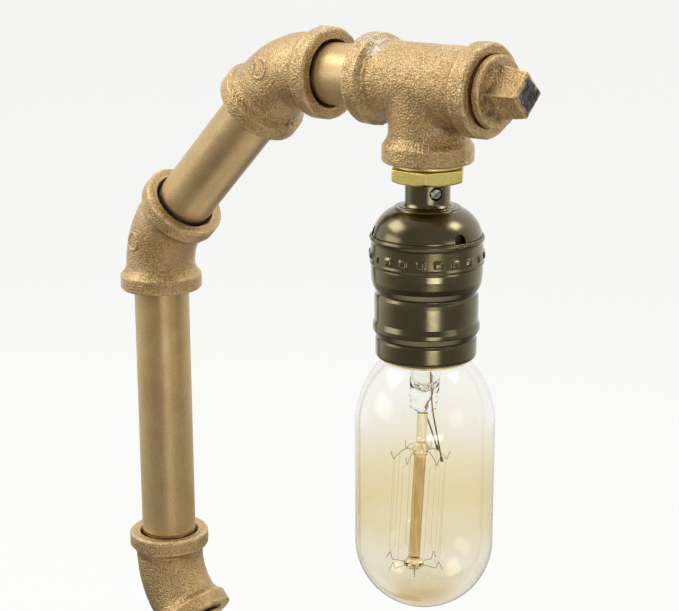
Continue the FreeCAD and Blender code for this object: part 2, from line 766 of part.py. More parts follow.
def cap_set_screw():
    """The slotted set screw along +X through the wall of the neck."""
    body = new_body("cap_set_screw")
    start = lamp_nipple_r
    end = dim("neck_od") / 2 + dim("set_screw_proud")
    sketch = new_sketch(body, "YZ_Plane", lift=start)
    draw_circle(sketch, dim("set_screw_od"))
    pad_sketch(body, sketch, end - start)
    slot = new_sketch(body, "YZ_Plane", lift=end)
    half_width = dim("set_screw_slot") / 2
    half_length = dim("set_screw_od")
    ring = [(ZERO - half_width, ZERO - half_length), (half_width, ZERO - half_length),
            (half_width, half_length), (ZERO - half_width, half_length)]
    draw_profile(slot, ring)
    pad_sketch(body, slot, dim("set_screw_slot_depth"), cut=True)
    return body


def socket_shell():
    """The shell: bossed collar, three steps, a rolled ridge and lip, and the switch stem's hole."""
    body = new_body("socket_shell")
    groove = dim("groove_depth")
    edge = dim("collar_edge")
    curl = dim("lip_curl")
    upper_inner_r = upper_r - dim("shell_wall")
    ridge_arc = bulge_radius((dim("ridge_od") - dim("middle_od")) / 2, dim("ridge_height") / 2)
    turn_profile(body, [
        (collar_inner_r, collar_top),
        (collar_r - edge, collar_top),
        (collar_r, collar_top + edge),
        (collar_r, upper_top - groove),
        (upper_r, upper_top),
        (upper_r, middle_top - groove * 2),
        (middle_r - groove, middle_top),
        (middle_r - groove, middle_top + groove),
        (middle_r, middle_top + groove * 2),
        (middle_r, ridge_top, ridge_arc, 1),
        (middle_r, lower_top),
        (lower_r - groove, lower_top + groove),
        (lower_r, lower_top + groove * 2),
        (lower_r, lip - curl, curl, 1),
        (lower_r - curl, lip),
        (shell_inner_r, lip),
        (shell_inner_r, middle_top),
        (upper_inner_r, middle_top - groove * 3),
        (upper_inner_r, upper_top - groove),
        (collar_inner_r, upper_top - groove * 2),
    ])
    aside = dim("bead_bearing").value - dim("switch_bearing").value
    sketch = new_sketch(body, "YZ_Plane", spin=aside)
    draw_circle(sketch, stem_hole_r * 2, y=switch_level)
    pad_sketch(body, sketch, collar_r, cut=True, reverse=True)
    boss_level = collar_top + dim("bead_drop")
    boss = new_sketch(body, "YZ_Plane", lift=collar_inner_r + dim("shell_wall") / 2)
    half = dim("bead_size") / 2
    draw_profile(boss, [(ZERO - half, boss_level - half), (half, boss_level - half),
                        (half, boss_level + half), (ZERO - half, boss_level + half)])
    raised = pad_sketch(body, boss, dim("shell_wall") / 2 + dim("bead_proud"))
    ring_pattern(body, raised, dim("bead_count"))
    return body


def insulating_sleeve():
    """The fibre tube inside the shell, with the switch stem's hole."""
    body = new_body("insulating_sleeve")
    inner_r = sleeve_r - dim("sleeve_wall")
    turn_profile(body, [
        (inner_r, core_top),
        (sleeve_r, core_top),
        (sleeve_r, cap_rim),
        (inner_r, cap_rim),
    ])
    sketch = new_sketch(body, "YZ_Plane")
    draw_circle(sketch, stem_hole_r * 2, y=switch_level)
    pad_sketch(body, sketch, collar_r, cut=True, reverse=True)
    return body


def socket_core():
    """The moulded core, with the rotor's bore from its side and a wire hole through its middle."""
    body = new_body("socket_core")
    wire_r = dim("wire_od") / 2 + dim("thread_gap")
    wire_seat = core_top + dim("core_wire_hole")
    edge = dim("core_edge")
    turn_profile(body, [
        (ZERO, wire_seat),
        (wire_r, wire_seat),
        (wire_r, core_top),
        (core_r - edge, core_top),
        (core_r, core_top + edge),
        (core_r, core_end),
        (ZERO, core_end),
    ])
    sketch = new_sketch(body, "YZ_Plane", lift=dim("rotor_start") - dim("rotor_gap"))
    draw_circle(sketch, dim("rotor_bore"), y=switch_level)
    pad_sketch(body, sketch, core_r, cut=True, reverse=True)
    return body


def screw_shell():
    """The brass shell that the bulb's cap screws into."""
    outer_r = screw_shell_r + dim("screw_shell_wall")
    end = core_end + dim("screw_shell_height")
    return turned_body("screw_shell", [
        (screw_shell_r, core_end),
        (outer_r, core_end),
        (outer_r, end),
        (screw_shell_r, end),
    ])


def centre_contact():
    """The bowed spring strip under the bulb's tip."""
    body = new_body("centre_contact")
    half = dim("contact_width")
    foot = dim("contact_foot")
    thick = dim("contact_thick")
    crown = tip_start - dim("core_gap") - thick
    sketch = new_sketch(body, "XZ_Plane")
    draw_profile(sketch, [
        (ZERO, crown),
        (foot, crown),
        (half - foot, core_end),
        (half, core_end),
        (half, core_end + thick),
        (half - foot + thick, core_end + thick),
        (foot + thick, crown + thick),
        (ZERO, crown + thick),
    ])
    strip = pad_sketch(body, sketch, dim("contact_width"))
    strip.SideType = "Symmetric"
    ring_pattern(body, strip, dim("contact_strip_count"))
    return body


def terminal_screws():
    """The two terminal screws on the core's upper face, as one node with two solids."""
    head = dim("terminal_head").value
    radius = dim("terminal_od").value / 2
    spread = dim("terminal_spread").value
    slot_size = dim("terminal_slot").value
    heads = []
    for side in (-1, 1):
        foot = FreeCAD.Vector(0, side * spread, core_top.value - head)
        screw = Part.makeCylinder(radius, head, foot)
        slot = Part.makeBox(radius * 2, slot_size, slot_size)
        slot.translate(foot + FreeCAD.Vector(-radius, -slot_size / 2, 0))
        heads.append(screw.cut(slot))
    return solid_piece("terminal_screws", Part.makeCompound(heads))


def switch_knob():
    """The ribbed knob with its stem, along +Z from the rotor outwards."""
    body = new_body("switch_knob")
    stem_r = dim("stem_od") / 2
    knob_r = dim("knob_od") / 2
    start = dim("rotor_start") + dim("rotor_length")
    knob_start = upper_r + dim("knob_standoff")
    knob_end = knob_start + dim("knob_length")
    edge = dim("knob_edge")
    turn_profile(body, [
        (ZERO, start),
        (stem_r, start),
        (stem_r, knob_start),
        (knob_r - edge, knob_start),
        (knob_r, knob_start + edge),
        (knob_r, knob_end - edge),
        (knob_r - edge, knob_end),
        (ZERO, knob_end),
    ])
    sketch = new_sketch(body, "XY_Plane", lift=knob_end)
    draw_circle(sketch, dim("rib_depth") * 2, x=knob_r)
    flute = pad_sketch(body, sketch, dim("knob_length"), cut=True)
    ring_pattern(body, flute, dim("knob_ribs"))
    return body


def switch_rotor():
    """The square contact rotor on the stem's inner end, along +Z."""
    body = new_body("switch_rotor")
    sketch = new_sketch(body, "XY_Plane", lift=dim("rotor_start"))
    draw_polygon(sketch, dim("rotor_square"), SQUARE_SIDES)
    pad_sketch(body, sketch, dim("rotor_length"))
    return body


# ---------------------------------------------------------------- bulb pieces
def bulb_glass():
    """The tubular envelope: neck, shoulder, straight wall and round end."""
    wall = dim("bulb_wall")
    outer_r = dim("bulb_od") / 2
    inner_r = outer_r - wall
    shoulder = dim("bulb_shoulder")
    neck_r = dim("bulb_neck_od") / 2 - wall / 2
    level = lip + dim("shoulder_drop")
    pole = lip + dim("bulb_length")
    equator = pole - outer_r

    def shoulder_level(radius, arc):
        across = radius - outer_r + shoulder
        return level - root(arc * arc - across * across)

    return turned_body("bulb_glass", [
        (neck_r - wall, glass_start),
        (neck_r, glass_start),
        (neck_r, shoulder_level(neck_r, shoulder), shoulder, 1),
        (outer_r, level),
        (outer_r, equator, outer_r, 1),
        (ZERO, pole),
        (ZERO, pole - wall, inner_r, -1),
        (inner_r, equator),
        (inner_r, level, shoulder - wall, -1),
        (neck_r - wall, shoulder_level(neck_r - wall, shoulder - wall)),
    ])


def bulb_stem():
    """The hollow glass stem with its flattened pinch."""
    body = new_body("bulb_stem")
    wall = dim("bulb_wall")
    tube_r = dim("stem_tube_od") / 2
    end = lip + dim("stem_length")
    pinch = end - dim("pinch_length")
    turn_profile(body, [
        (tube_r - wall, glass_start),
        (tube_r, glass_start),
        (tube_r, pinch),
        (tube_r - wall, pinch + wall),
        (ZERO, pinch + wall),
        (ZERO, pinch),
        (tube_r - wall, pinch - wall),
    ])
    sketch = new_sketch(body, "XY_Plane", lift=end)
    half_w = dim("pinch_width") / 2
    half_t = dim("pinch_thick") / 2
    draw_profile(sketch, [(ZERO - half_w, ZERO - half_t), (half_w, ZERO - half_t),
                          (half_w, half_t), (ZERO - half_w, half_t)])
    pad_sketch(body, sketch, dim("pinch_length"), reverse=True)
    return body


def support_rod():
    """The glass rod with its two buttons."""
    rod_r = dim("rod_od") / 2
    lower_button_r = dim("lower_button_od") / 2
    start = lip + dim("stem_length")
    upper = lip + dim("upper_button")
    lower = lip + dim("lower_button")
    bulge = dim("upper_button_od") / 2 - rod_r
    half = dim("button_height") / 2
    half_rim = dim("lower_button_rim") / 2
    return turned_body("support_rod", [
        (ZERO, start),
        (rod_r, start),
        (rod_r, upper - half, bulge_radius(bulge, half), 1),
        (rod_r, upper + half),
        (rod_r, lower - half),
        (lower_button_r, lower - half_rim),
        (lower_button_r, lower + half_rim),
        (rod_r, lower + half),
        (ZERO, lower + half),
    ])


def wire_run(points, diameter):
    """A thin wire of straight six-sided runs that meet at their corners, as one solid."""
    radius = diameter / 2
    solid = None
    for start, stop in zip(points, points[1:]):
        run = (stop - start).normalize()
        across = run.cross(Y_AXIS if abs(run.y) < NEARLY_PARALLEL else X_AXIS).normalize()
        spin = FreeCAD.Rotation(run, WHOLE_TURN / WIRE_SIDES)
        low, high = start - run * radius / 2, stop + run * radius / 2
        ring = [low + across * radius]
        while len(ring) < WIRE_SIDES:
            ring.append(low + spin.multVec(ring[-1] - low))
        face = Part.Face(Part.makePolygon(ring + ring[:1]))
        piece = face.extrude(high - low)
        solid = piece if solid is None else solid.fuse(piece)
    return solid


def polar(radius, angle, height):
    """A point from its radius, angle in degrees and height."""
    turn = math.radians(angle)
    return FreeCAD.Vector(radius * math.cos(turn), radius * math.sin(turn), height)


def support_wires(name, level, button_od, first_angle, side):
    """The spokes of one button, each ending in a hook that opens upwards (1) or downwards (-1)."""
    count = int(dim("support_count").value)
    foot_r = button_od.value / 2
    hook_r = dim("hook_reach").value
    tip_r = dim("support_reach").value
    bend_r = hook_r - (tip_r - hook_r)
    depth = dim("hook_depth").value * side
    spokes = []
    for number in range(count):
        angle = first_angle + WHOLE_TURN * number / count
        points = [
            polar(foot_r, angle, level.value),
            polar(bend_r, angle, level.value),
            polar(hook_r, angle, level.value + depth),
            polar(tip_r, angle, level.value),
        ]
        spokes.append(wire_run(points, dim("support_wire").value))
    return solid_piece(name, Part.makeCompound(spokes))


def filament_levels():
    """Stations of the filament's upper turns, upper leg ends, lower leg ends and lower turns."""
    turn_depth = dim("hook_depth").value - dim("filament_rest").value
    upper = lip.value + dim("upper_button").value + turn_depth
    lower = lip.value + dim("lower_button").value - turn_depth
    drop = dim("filament_drop").value
    return upper, upper + drop, lower - drop, lower


def filament_corners():
    """The corners of the filament: upright legs, and a turn over or under each hook.

    Angles are measured from the middle between the two lead wires.
    """
    reach = dim("hook_reach").value
    legs = int(dim("support_count").value) * 2
    step = WHOLE_TURN / legs
    upper_turn, upper_leg, lower_leg, lower_turn = filament_levels()
    corners = []
    for number in range(legs):
        angle = step * (number + 0.5)
        going_down = number % 2 == 0
        leg = (upper_leg, lower_leg) if going_down else (lower_leg, upper_leg)
        corners += [polar(reach, angle, height) for height in leg]
        if number < legs - 1:
            corners.append(polar(reach, angle + step / 2, lower_turn if going_down else upper_turn))
    return corners


def filament():
    """The squirrel-cage filament, one wire from lead to lead."""
    return solid_piece("filament", wire_run(filament_corners(), dim("filament_wire").value))


def lead_wires():
    """The two lead wires, from the pinch out to the filament's ends."""
    thick = dim("lead_wire").value
    foot = lip.value + dim("stem_length").value + thick / 2
    corners = filament_corners()
    foot_r = dim("pinch_thick").value / 2 + thick
    leads = []
    for side, end in ((1, corners[0]), (-1, corners[-1])):
        start = polar(foot_r, side * QUARTER_TURN / 2, foot)
        reach = end - start
        stop = start + reach * (1 - thick / reach.Length)
        leads.append(wire_run([start, stop], thick))
    return solid_piece("lead_wires", Part.makeCompound(leads))


def bulb_cap():
    """The bulb's brass screw cap."""
    wall = dim("bulb_cap_wall")
    shoulder = cap_start + dim("bulb_cap_taper")
    return turned_body("bulb_cap", [
        (bulb_cap_seat_r - wall, cap_start),
        (bulb_cap_seat_r, cap_start),
        (bulb_cap_r, shoulder),
        (bulb_cap_r, cap_rim),
        (bulb_cap_r - wall, cap_rim),
        (bulb_cap_r - wall, shoulder + wall),
    ])


def cap_insulator():
    """The black glass cone between the screw cap and the tip."""
    start = tip_start + dim("tip_height")
    return turned_body("cap_insulator", [
        (ZERO, start),
        (dim("tip_od") / 2, start),
        (bulb_cap_seat_r, cap_start),
        (ZERO, cap_start),
    ])


def cap_contact():
    """The bulb's bottom contact."""
    tip_r = dim("tip_od") / 2
    height = dim("tip_height")
    return turned_body("cap_contact", [
        (ZERO, tip_start),
        (tip_r - dim("tip_dome"), tip_start),
        (tip_r, tip_start + height / 2),
        (tip_r, tip_start + height),
        (ZERO, tip_start + height),
    ])


# ---------------------------------------------------------------- the run in the XZ plane
def along(heading, distance):
    """A step in the XZ plane: heading is the angle from +Z towards +X, in degrees."""
    turn = math.radians(heading)
    return FreeCAD.Vector(math.sin(turn), 0, math.cos(turn)) * distance


def seat(piece, point, heading=0.0, turn=0.0):
    """Put a piece with its origin at a point, turned about its own axis and then to a heading."""
    rotation = FreeCAD.Rotation(Y_AXIS, heading) * FreeCAD.Rotation(Z_AXIS, turn)
    piece.Placement = FreeCAD.Placement(point, rotation)
    return piece


elbow_turn = dim("elbow_angle").value
elbow_reach = dim("elbow_reach").value
tee_reach = dim("tee_reach").value
grip = dim("engagement").value
flange_base = FreeCAD.Vector(0, 0, dim("pad_thickness").value)
flange_top = flange_base + along(0, dim("flange_height").value)
base_tee_at = flange_top + along(0, dim("close_shown").value + tee_reach)
foot_at = base_tee_at + along(0, tee_reach + dim("base_shown").value + elbow_reach)
hip_at = foot_at + along(-elbow_turn, elbow_reach * 2 + dim("lower_diagonal_shown").value)
shoulder_at = hip_at + along(0, elbow_reach * 2 + dim("upright_shown").value)
upper_at = shoulder_at + along(elbow_turn, elbow_reach * 2 + dim("upper_diagonal_shown").value)
arm_heading = elbow_turn * 2
head_at = upper_at + along(arm_heading, elbow_reach + dim("short_shown").value + tee_reach)
lamp_heading = arm_heading + QUARTER_TURN

parts = [
    seat(base_pad(), FreeCAD.Vector()),
    seat(floor_flange(), flange_base),
    seat(nipple("close_nipple", dim("close_shown")), flange_top - along(0, grip)),
    seat(tee("base_tee"), base_tee_at, turn=HALF_TURN),
    seat(hex_bushing("inlet_bushing", dim("inlet_hex"), dim("inlet_hex_height"),
                     dim("inlet_bore") / 2),
         base_tee_at + along(-QUARTER_TURN, tee_reach), -QUARTER_TURN),
    seat(inlet_grommet(dim("inlet_bore") / 2),
         base_tee_at + along(-QUARTER_TURN, tee_reach - grip), -QUARTER_TURN),
    seat(nipple("base_nipple", dim("base_shown")), base_tee_at + along(0, tee_reach - grip)),
    seat(elbow("foot_elbow"), foot_at, turn=HALF_TURN),
    seat(nipple("lower_diagonal_pipe", dim("lower_diagonal_shown")),
         foot_at + along(-elbow_turn, elbow_reach - grip), -elbow_turn),
    seat(elbow("hip_elbow"), hip_at, -elbow_turn),
    seat(nipple("upright_pipe", dim("upright_shown")), hip_at + along(0, elbow_reach - grip)),
    seat(elbow("shoulder_elbow"), shoulder_at),
    seat(nipple("upper_diagonal_pipe", dim("upper_diagonal_shown")),
         shoulder_at + along(elbow_turn, elbow_reach - grip), elbow_turn),
    seat(elbow("upper_elbow"), upper_at, elbow_turn),
    seat(nipple("short_nipple", dim("short_shown")),
         upper_at + along(arm_heading, elbow_reach - grip), arm_heading),
    seat(tee("head_tee"), head_at, arm_heading),
    seat(square_plug(), head_at + along(arm_heading, tee_reach), arm_heading, QUARTER_TURN / 2),
]

# The holder's and the bulb's pieces share one frame: its origin is the upper tee's centre and
# its Z runs down the branch. A direction in plan is mirrored there, because that frame hangs.
slot_turn = HALF_TURN - dim("cap_bearing").value
screw_turn = HALF_TURN - dim("screw_bearing").value
hex_turn = HALF_TURN - dim("hex_bearing").value
switch_turn = HALF_TURN - dim("switch_bearing").value
bead_turn = HALF_TURN - dim("bead_bearing").value
lead_turn = HALF_TURN - dim("lead_bearing").value
bushing = hex_bushing("hex_bushing", dim("bushing_hex"), dim("bushing_hex_height"),
                      lamp_nipple_r + dim("thread_gap"))
bushing_at = head_at + along(lamp_heading, tee_reach)
parts += [
    seat(bushing, bushing_at, lamp_heading, hex_turn - QUARTER_TURN / 3),
    seat(lamp_nipple(), head_at, lamp_heading),
    seat(lamp_locknut(), head_at, lamp_heading),
    seat(socket_cap(), head_at, lamp_heading, slot_turn),
    seat(socket_shell(), head_at, lamp_heading, bead_turn),
    seat(insulating_sleeve(), head_at, lamp_heading, switch_turn),
    seat(socket_core(), head_at, lamp_heading, switch_turn),
    seat(screw_shell(), head_at, lamp_heading),
    seat(centre_contact(), head_at, lamp_heading, switch_turn),
    seat(terminal_screws(), head_at, lamp_heading, switch_turn),
    seat(bulb_glass(), head_at, lamp_heading),
    seat(bulb_stem(), head_at, lamp_heading, slot_turn),
    seat(support_rod(), head_at, lamp_heading),
    seat(support_wires("upper_supports", lip + dim("upper_button"), dim("upper_button_od"),
                       0.0, 1), head_at, lamp_heading, lead_turn),
    seat(support_wires("lower_supports", lip + dim("lower_button"), dim("lower_button_od"),
                       HALF_TURN / dim("support_count").value, -1),
         head_at, lamp_heading, lead_turn),
    seat(filament(), head_at, lamp_heading, lead_turn),
    seat(lead_wires(), head_at, lamp_heading, lead_turn),
    seat(bulb_cap(), head_at, lamp_heading),
    seat(cap_insulator(), head_at, lamp_heading),
    seat(cap_contact(), head_at, lamp_heading),
]

# Pieces that lie square to the holder's axis point along the set screw's or the switch's bearing.
switch_at = head_at + along(lamp_heading, switch_level.value)
switch_place = FreeCAD.Rotation(Y_AXIS, lamp_heading) * FreeCAD.Rotation(Z_AXIS, switch_turn)
across = FreeCAD.Rotation(Y_AXIS, QUARTER_TURN)
for piece in (switch_knob(), switch_rotor()):
    piece.Placement = FreeCAD.Placement(switch_at, switch_place * across)
    parts.append(piece)
screw_at = head_at + along(lamp_heading, set_screw_level.value)
parts.append(seat(cap_set_screw(), screw_at, lamp_heading, screw_turn))


# ---------------------------------------------------------------- supply wires inside the pipes
def routed_wire(name, points, bends):
    """A round wire through points in the XZ plane, its corners rounded by the given radii."""
    edges = []
    start = points[0]
    for corner, following, bend_r in zip(points[1:-1], points[2:], bends):
        before = (corner - start).normalize()
        after = (following - corner).normalize()
        half = before.getAngle(after) / 2
        leave = corner - before * (bend_r * math.tan(half))
        arrive = corner + after * (bend_r * math.tan(half))
        inward = (after - before).normalize()
        centre = corner + inward * (bend_r / math.cos(half))
        middle = centre - inward * bend_r
        edges.append(Part.LineSegment(start, leave).toShape())
        edges.append(Part.Arc(leave, middle, arrive).toShape())
        start = arrive
    edges.append(Part.LineSegment(start, points[-1]).toShape())
    path = Part.Wire(edges)
    radius = dim("wire_od").value / 2
    circle = Part.makeCircle(radius, points[0], points[1] - points[0])
    tube = path.makePipeShell([Part.Wire([circle])], True, True)
    ratio = tube.Volume / (math.pi * radius ** 2 * path.Length)
    print("%s: length %.1f mm, volume over section times length %.4f" % (name, path.Length, ratio))
    return solid_piece(name, tube)


wire_bend = dim("wire_bend").value
elbow_bend = dim("elbow_bend").value
bend_start = elbow_bend * math.tan(math.radians(elbow_turn / 2))
swing_joint_at = shoulder_at - along(0, elbow_reach - socket_depth.value + bend_start)
head_joint_at = head_at - along(arm_heading, tee_reach - socket_depth.value)
core_entry = head_at + along(lamp_heading, core_top.value + dim("core_wire_hole").value)
parts += [
    routed_wire("base_wire", [
        base_tee_at + along(-QUARTER_TURN, tee_reach - grip - dim("wire_gap").value),
        base_tee_at,
        foot_at,
        hip_at,
        swing_joint_at,
    ], [wire_bend, elbow_bend, elbow_bend]),
    routed_wire("arm_wire", [
        swing_joint_at,
        shoulder_at,
        upper_at,
        head_joint_at,
    ], [elbow_bend, elbow_bend]),
    routed_wire("head_wire", [
        head_joint_at,
        head_at,
        core_entry,
    ], [wire_bend]),
]

# ---------------------------------------------------------------- check and write
doc.recompute()
failed = [item.Name for item in doc.Objects if "Invalid" in item.State or "Error" in item.State]
if failed:
    raise RuntimeError("objects that failed: " + ", ".join(failed))
for piece in parts:
    if piece.Shape.isNull() or not piece.Shape.isValid() or not piece.Shape.Solids:
        raise RuntimeError("no valid solid in " + piece.Label)

os.makedirs("parts", exist_ok=True)
for piece in parts:
    piece.Shape.exportStep("parts/" + piece.Label + ".step")
print("%d pieces written" % len(parts))
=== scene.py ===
from math import acos, atan2, ceil, cos, hypot, pi, radians, sin, sqrt, tan

import bmesh
import bpy
import numpy as np
from mathutils import Matrix, Vector, noise


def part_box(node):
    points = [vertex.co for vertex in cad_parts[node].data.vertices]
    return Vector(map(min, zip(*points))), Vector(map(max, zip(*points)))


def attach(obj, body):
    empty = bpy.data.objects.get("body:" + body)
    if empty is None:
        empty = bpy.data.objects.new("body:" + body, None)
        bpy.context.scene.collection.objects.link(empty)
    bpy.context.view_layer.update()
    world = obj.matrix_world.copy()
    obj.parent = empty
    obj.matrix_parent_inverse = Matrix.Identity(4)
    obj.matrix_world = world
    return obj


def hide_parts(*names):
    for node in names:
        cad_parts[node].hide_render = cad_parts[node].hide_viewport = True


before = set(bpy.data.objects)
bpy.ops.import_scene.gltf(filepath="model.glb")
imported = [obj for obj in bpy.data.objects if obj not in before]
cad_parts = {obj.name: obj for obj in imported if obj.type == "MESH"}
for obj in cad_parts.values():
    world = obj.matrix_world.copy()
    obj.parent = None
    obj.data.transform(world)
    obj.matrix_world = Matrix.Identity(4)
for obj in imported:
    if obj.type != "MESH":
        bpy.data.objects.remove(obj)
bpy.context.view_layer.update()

# The looks of a table lamp made of half-inch pipe. Lengths are metres in the frame's own axes:
# +Z up, the pipe run in the XZ plane, +X towards the bulb.
MM = 0.001
TURN = 2 * pi
HALF = TURN / 2
QUARTER = TURN / 4
Z_AXIS = Vector((0, 0, 1))

# ---- sizes shared by several pieces
PIPE_R = 10.67 * MM
PIPE_BORE_R = 7.9 * MM
THREAD_PITCH = 1.814 * MM
THREAD_DEPTH = 0.9 * MM
THREAD_LENGTH = 13.0 * MM
ELBOW_REACH = 21.3 * MM
ELBOW_TURN = radians(45)
VOXEL = 0.4 * MM


# ---- mesh helpers
def link(name, data):
    """A new object in the scene that shows a mesh, a light or a camera."""
    piece = bpy.data.objects.new(name, data)
    bpy.context.scene.collection.objects.link(piece)
    return piece


def mesh_piece(name, points, faces, sharp=35.0):
    """A mesh object with smooth faces, and sharp edges where it turns by more than an angle."""
    mesh = bpy.data.meshes.new(name)
    mesh.from_pydata([tuple(p) for p in points], [], faces)
    work = bmesh.new()
    work.from_mesh(mesh)
    bmesh.ops.remove_doubles(work, verts=work.verts, dist=1e-7)
    bmesh.ops.recalc_face_normals(work, faces=work.faces)
    work.to_mesh(mesh)
    work.free()
    mesh.shade_smooth()
    mesh.set_sharp_from_angle(angle=radians(sharp))
    return link(name, mesh)


def band(low, high, sides):
    """The faces between two rings of vertices, from the number of each ring's first vertex."""
    return [(low + n, low + (n + 1) % sides, high + (n + 1) % sides, high + n) for n in range(sides)]


def dress(piece, body, material, slot, *nodes):
    """Give a piece its material and body, and hide the CAD nodes that it stands for. The slot argument
    is not used.
    """
    piece.data.materials.clear()
    piece.data.materials.append(material)
    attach(piece, body)
    if nodes:
        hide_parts(*nodes)


def rounded(corners, steps=4):
    """A closed outline of (radius, height) points, from corners (radius, height, fillet)."""
    points = []
    count = len(corners)
    for number, corner in enumerate(corners):
        here = Vector(corner[:2])
        fillet = corner[2] if len(corner) > 2 else 0.0
        if not fillet:
            points.append(here)
            continue
        back = Vector(corners[number - 1][:2]) - here
        ahead = Vector(corners[(number + 1) % count][:2]) - here
        half = back.angle(ahead) / 2
        cut = min(fillet / tan(half), 0.48 * back.length, 0.48 * ahead.length)
        start = here + back.normalized() * cut
        end = here + ahead.normalized() * cut
        for step in range(steps + 1):
            t = step / steps
            points.append(start * (1 - t) ** 2 + here * (2 * t * (1 - t)) + end * t ** 2)
    return points


def refined(outline, longest):
    """The same closed outline with no step longer than a length."""
    points = []
    for here, ahead in zip(outline, outline[1:] + outline[:1]):
        count = max(1, ceil((ahead - here).length / longest))
        points += [here.lerp(ahead, step / count) for step in range(count)]
    return points


def turned(name, outline, place=Matrix(), segments=128, wave=None, sharp=35.0):
    """Turn a closed outline about Z. wave(angles, radius, height) may change a row's radii."""
    angles = np.linspace(0, TURN, segments, endpoint=False)
    rows = []
    for radius, height in outline:
        radii = np.full(segments, radius) if wave is None else wave(angles, radius, height)
        level = np.full(segments, height)
        rows.append(np.column_stack([radii * np.cos(angles), radii * np.sin(angles), level]))
    points = np.vstack(rows) @ np.array(place.to_3x3()).T + np.array(place.translation)
    faces = []
    count = len(outline)
    for row in range(count):
        after = (row + 1) % count
        if outline[row][0] < 1e-7 and outline[after][0] < 1e-7:
            continue
        faces += band(row * segments, after * segments, segments)
    return mesh_piece(name, points, faces, sharp)


def heading_matrix(angle):
    """Turn +Z towards +X by an angle."""
    return Matrix.Rotation(angle, 4, "Y")


def centre(node):
    """The middle of a CAD node's box."""
    low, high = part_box(node)
    return (low + high) / 2


def noise_at(points, scale, seed):
    """Smooth noise from -1 to 1 at each point."""
    shift = Vector((seed * 7.31, seed * 3.17, seed * 5.53))
    return np.array([noise.noise(Vector(p) * scale + shift) for p in points])


def smooth_step(x):
    """0 below 0, 1 above 1, smooth between."""
    x = np.clip(x, 0, 1)
    return x * x * (3 - 2 * x)


def rows_of(vectors, field="co"):
    """A mesh's vertices, or its normals with field "vector", as rows of x, y, z."""
    rows = np.zeros(len(vectors) * 3)
    vectors.foreach_get(field, rows)
    return rows.reshape(-1, 3)


def set_mask(mesh, name, values):
    """Store one number per vertex for a material to read."""
    layer = mesh.attributes.get(name) or mesh.attributes.new(name, "FLOAT", "POINT")
    layer.data.foreach_set("value", np.asarray(values, np.float32))


def tubes(name, paths, radius, sides=10):
    """Round wires along lists of points, as one mesh."""
    points, faces = [], []
    for path in paths:
        path = [Vector(p) for p in path]
        normal = (path[1] - path[0]).orthogonal().normalized()
        first = len(points)
        for number, here in enumerate(path):
            ahead = path[min(number + 1, len(path) - 1)]
            back = path[max(number - 1, 0)]
            run = (ahead - back).normalized()
            normal = (normal - run * normal.dot(run)).normalized()
            side = run.cross(normal)
            for step in range(sides):
                angle = TURN * step / sides
                points.append(here + (normal * cos(angle) + side * sin(angle)) * radius)
        last = first + (len(path) - 1) * sides
        for low in range(first, last, sides):
            faces += band(low, low + sides, sides)
        faces += [tuple(range(end, end + sides)) for end in (first, last)]
    return mesh_piece(name, points, faces, sharp=60.0)


def curved(points, steps=6):
    """A smooth line through points, as a Catmull-Rom spline."""
    points = [Vector(p) for p in points]
    padded = [points[0] * 2 - points[1]] + points + [points[-1] * 2 - points[-2]]
    line = []
    for a, b, c, d in zip(padded, padded[1:], padded[2:], padded[3:]):
        for step in range(steps):
            t = step / steps
            line.append(0.5 * (2 * b + (c - a) * t + (2 * a - 5 * b + 4 * c - d) * t ** 2
                               + (3 * b - a - 3 * c + d) * t ** 3))
    return line + [points[-1]]


# ---- shader helpers
class Nodes:
    """The shader nodes of a material, a world or a light, with short ways to add more."""

    def __init__(self, owner):
        owner.use_nodes = True
        self.tree = owner.node_tree

    def join(self, socket, value):
        """Link another node's output to an input, or set the input to a number or a colour."""
        if isinstance(value, bpy.types.NodeSocket):
            self.tree.links.new(value, socket)
        elif socket.type == "RGBA":
            socket.default_value = (*value, 1)
        else:
            socket.default_value = value

    def add(self, kind, inputs=(), **settings):
        """A new node; its inputs are numbers, colours or other nodes' outputs."""
        node = self.tree.nodes.new("ShaderNode" + kind)
        for key, value in settings.items():
            setattr(node, key, value)
        for key, value in dict(inputs).items():
            self.join(node.inputs[key], value)
        return node

    def math(self, operation, first, second, clamp=False):
        """One operation on two numbers or patterns."""
        node = self.add("Math", {0: first, 1: second}, operation=operation, use_clamp=clamp)
        return node.outputs[0]

    def vector_math(self, operation, first, second):
        """One operation on two vectors that gives a number."""
        return self.add("VectorMath", {0: first, 1: second}, operation=operation).outputs["Value"]

    def map_range(self, value, start, end, low=0.0, high=1.0):
        """A number carried from one range to another, and held inside it."""
        ends = {"Value": value, "From Min": start, "From Max": end, "To Min": low, "To Max": high}
        return self.add("MapRange", ends).outputs[0]

    def ramp(self, factor, stops):
        """A colour or grey ramp from (position, value) stops."""
        node = self.add("ValToRGB", {"Fac": factor})
        elements = node.color_ramp.elements
        while len(elements) < len(stops):
            elements.new(0.5)
        for element, (position, value) in zip(elements, stops):
            element.position = position
            element.color = (*value, 1) if isinstance(value, tuple) else (value, value, value, 1)
        return node.outputs["Color"]

    def blend(self, factor, first, second, how="MIX"):
        """Two colours mixed by a factor."""
        colours = {0: factor, 6: first, 7: second}
        return self.add("Mix", colours, data_type="RGBA", blend_type=how).outputs[2]

    def sum(self, *terms):
        """Several (pattern, weight) terms added up."""
        weighted = [self.math("MULTIPLY", pattern, weight) for pattern, weight in terms]
        total = weighted[0]
        for term in weighted[1:]:
            total = self.math("ADD", total, term)
        return total


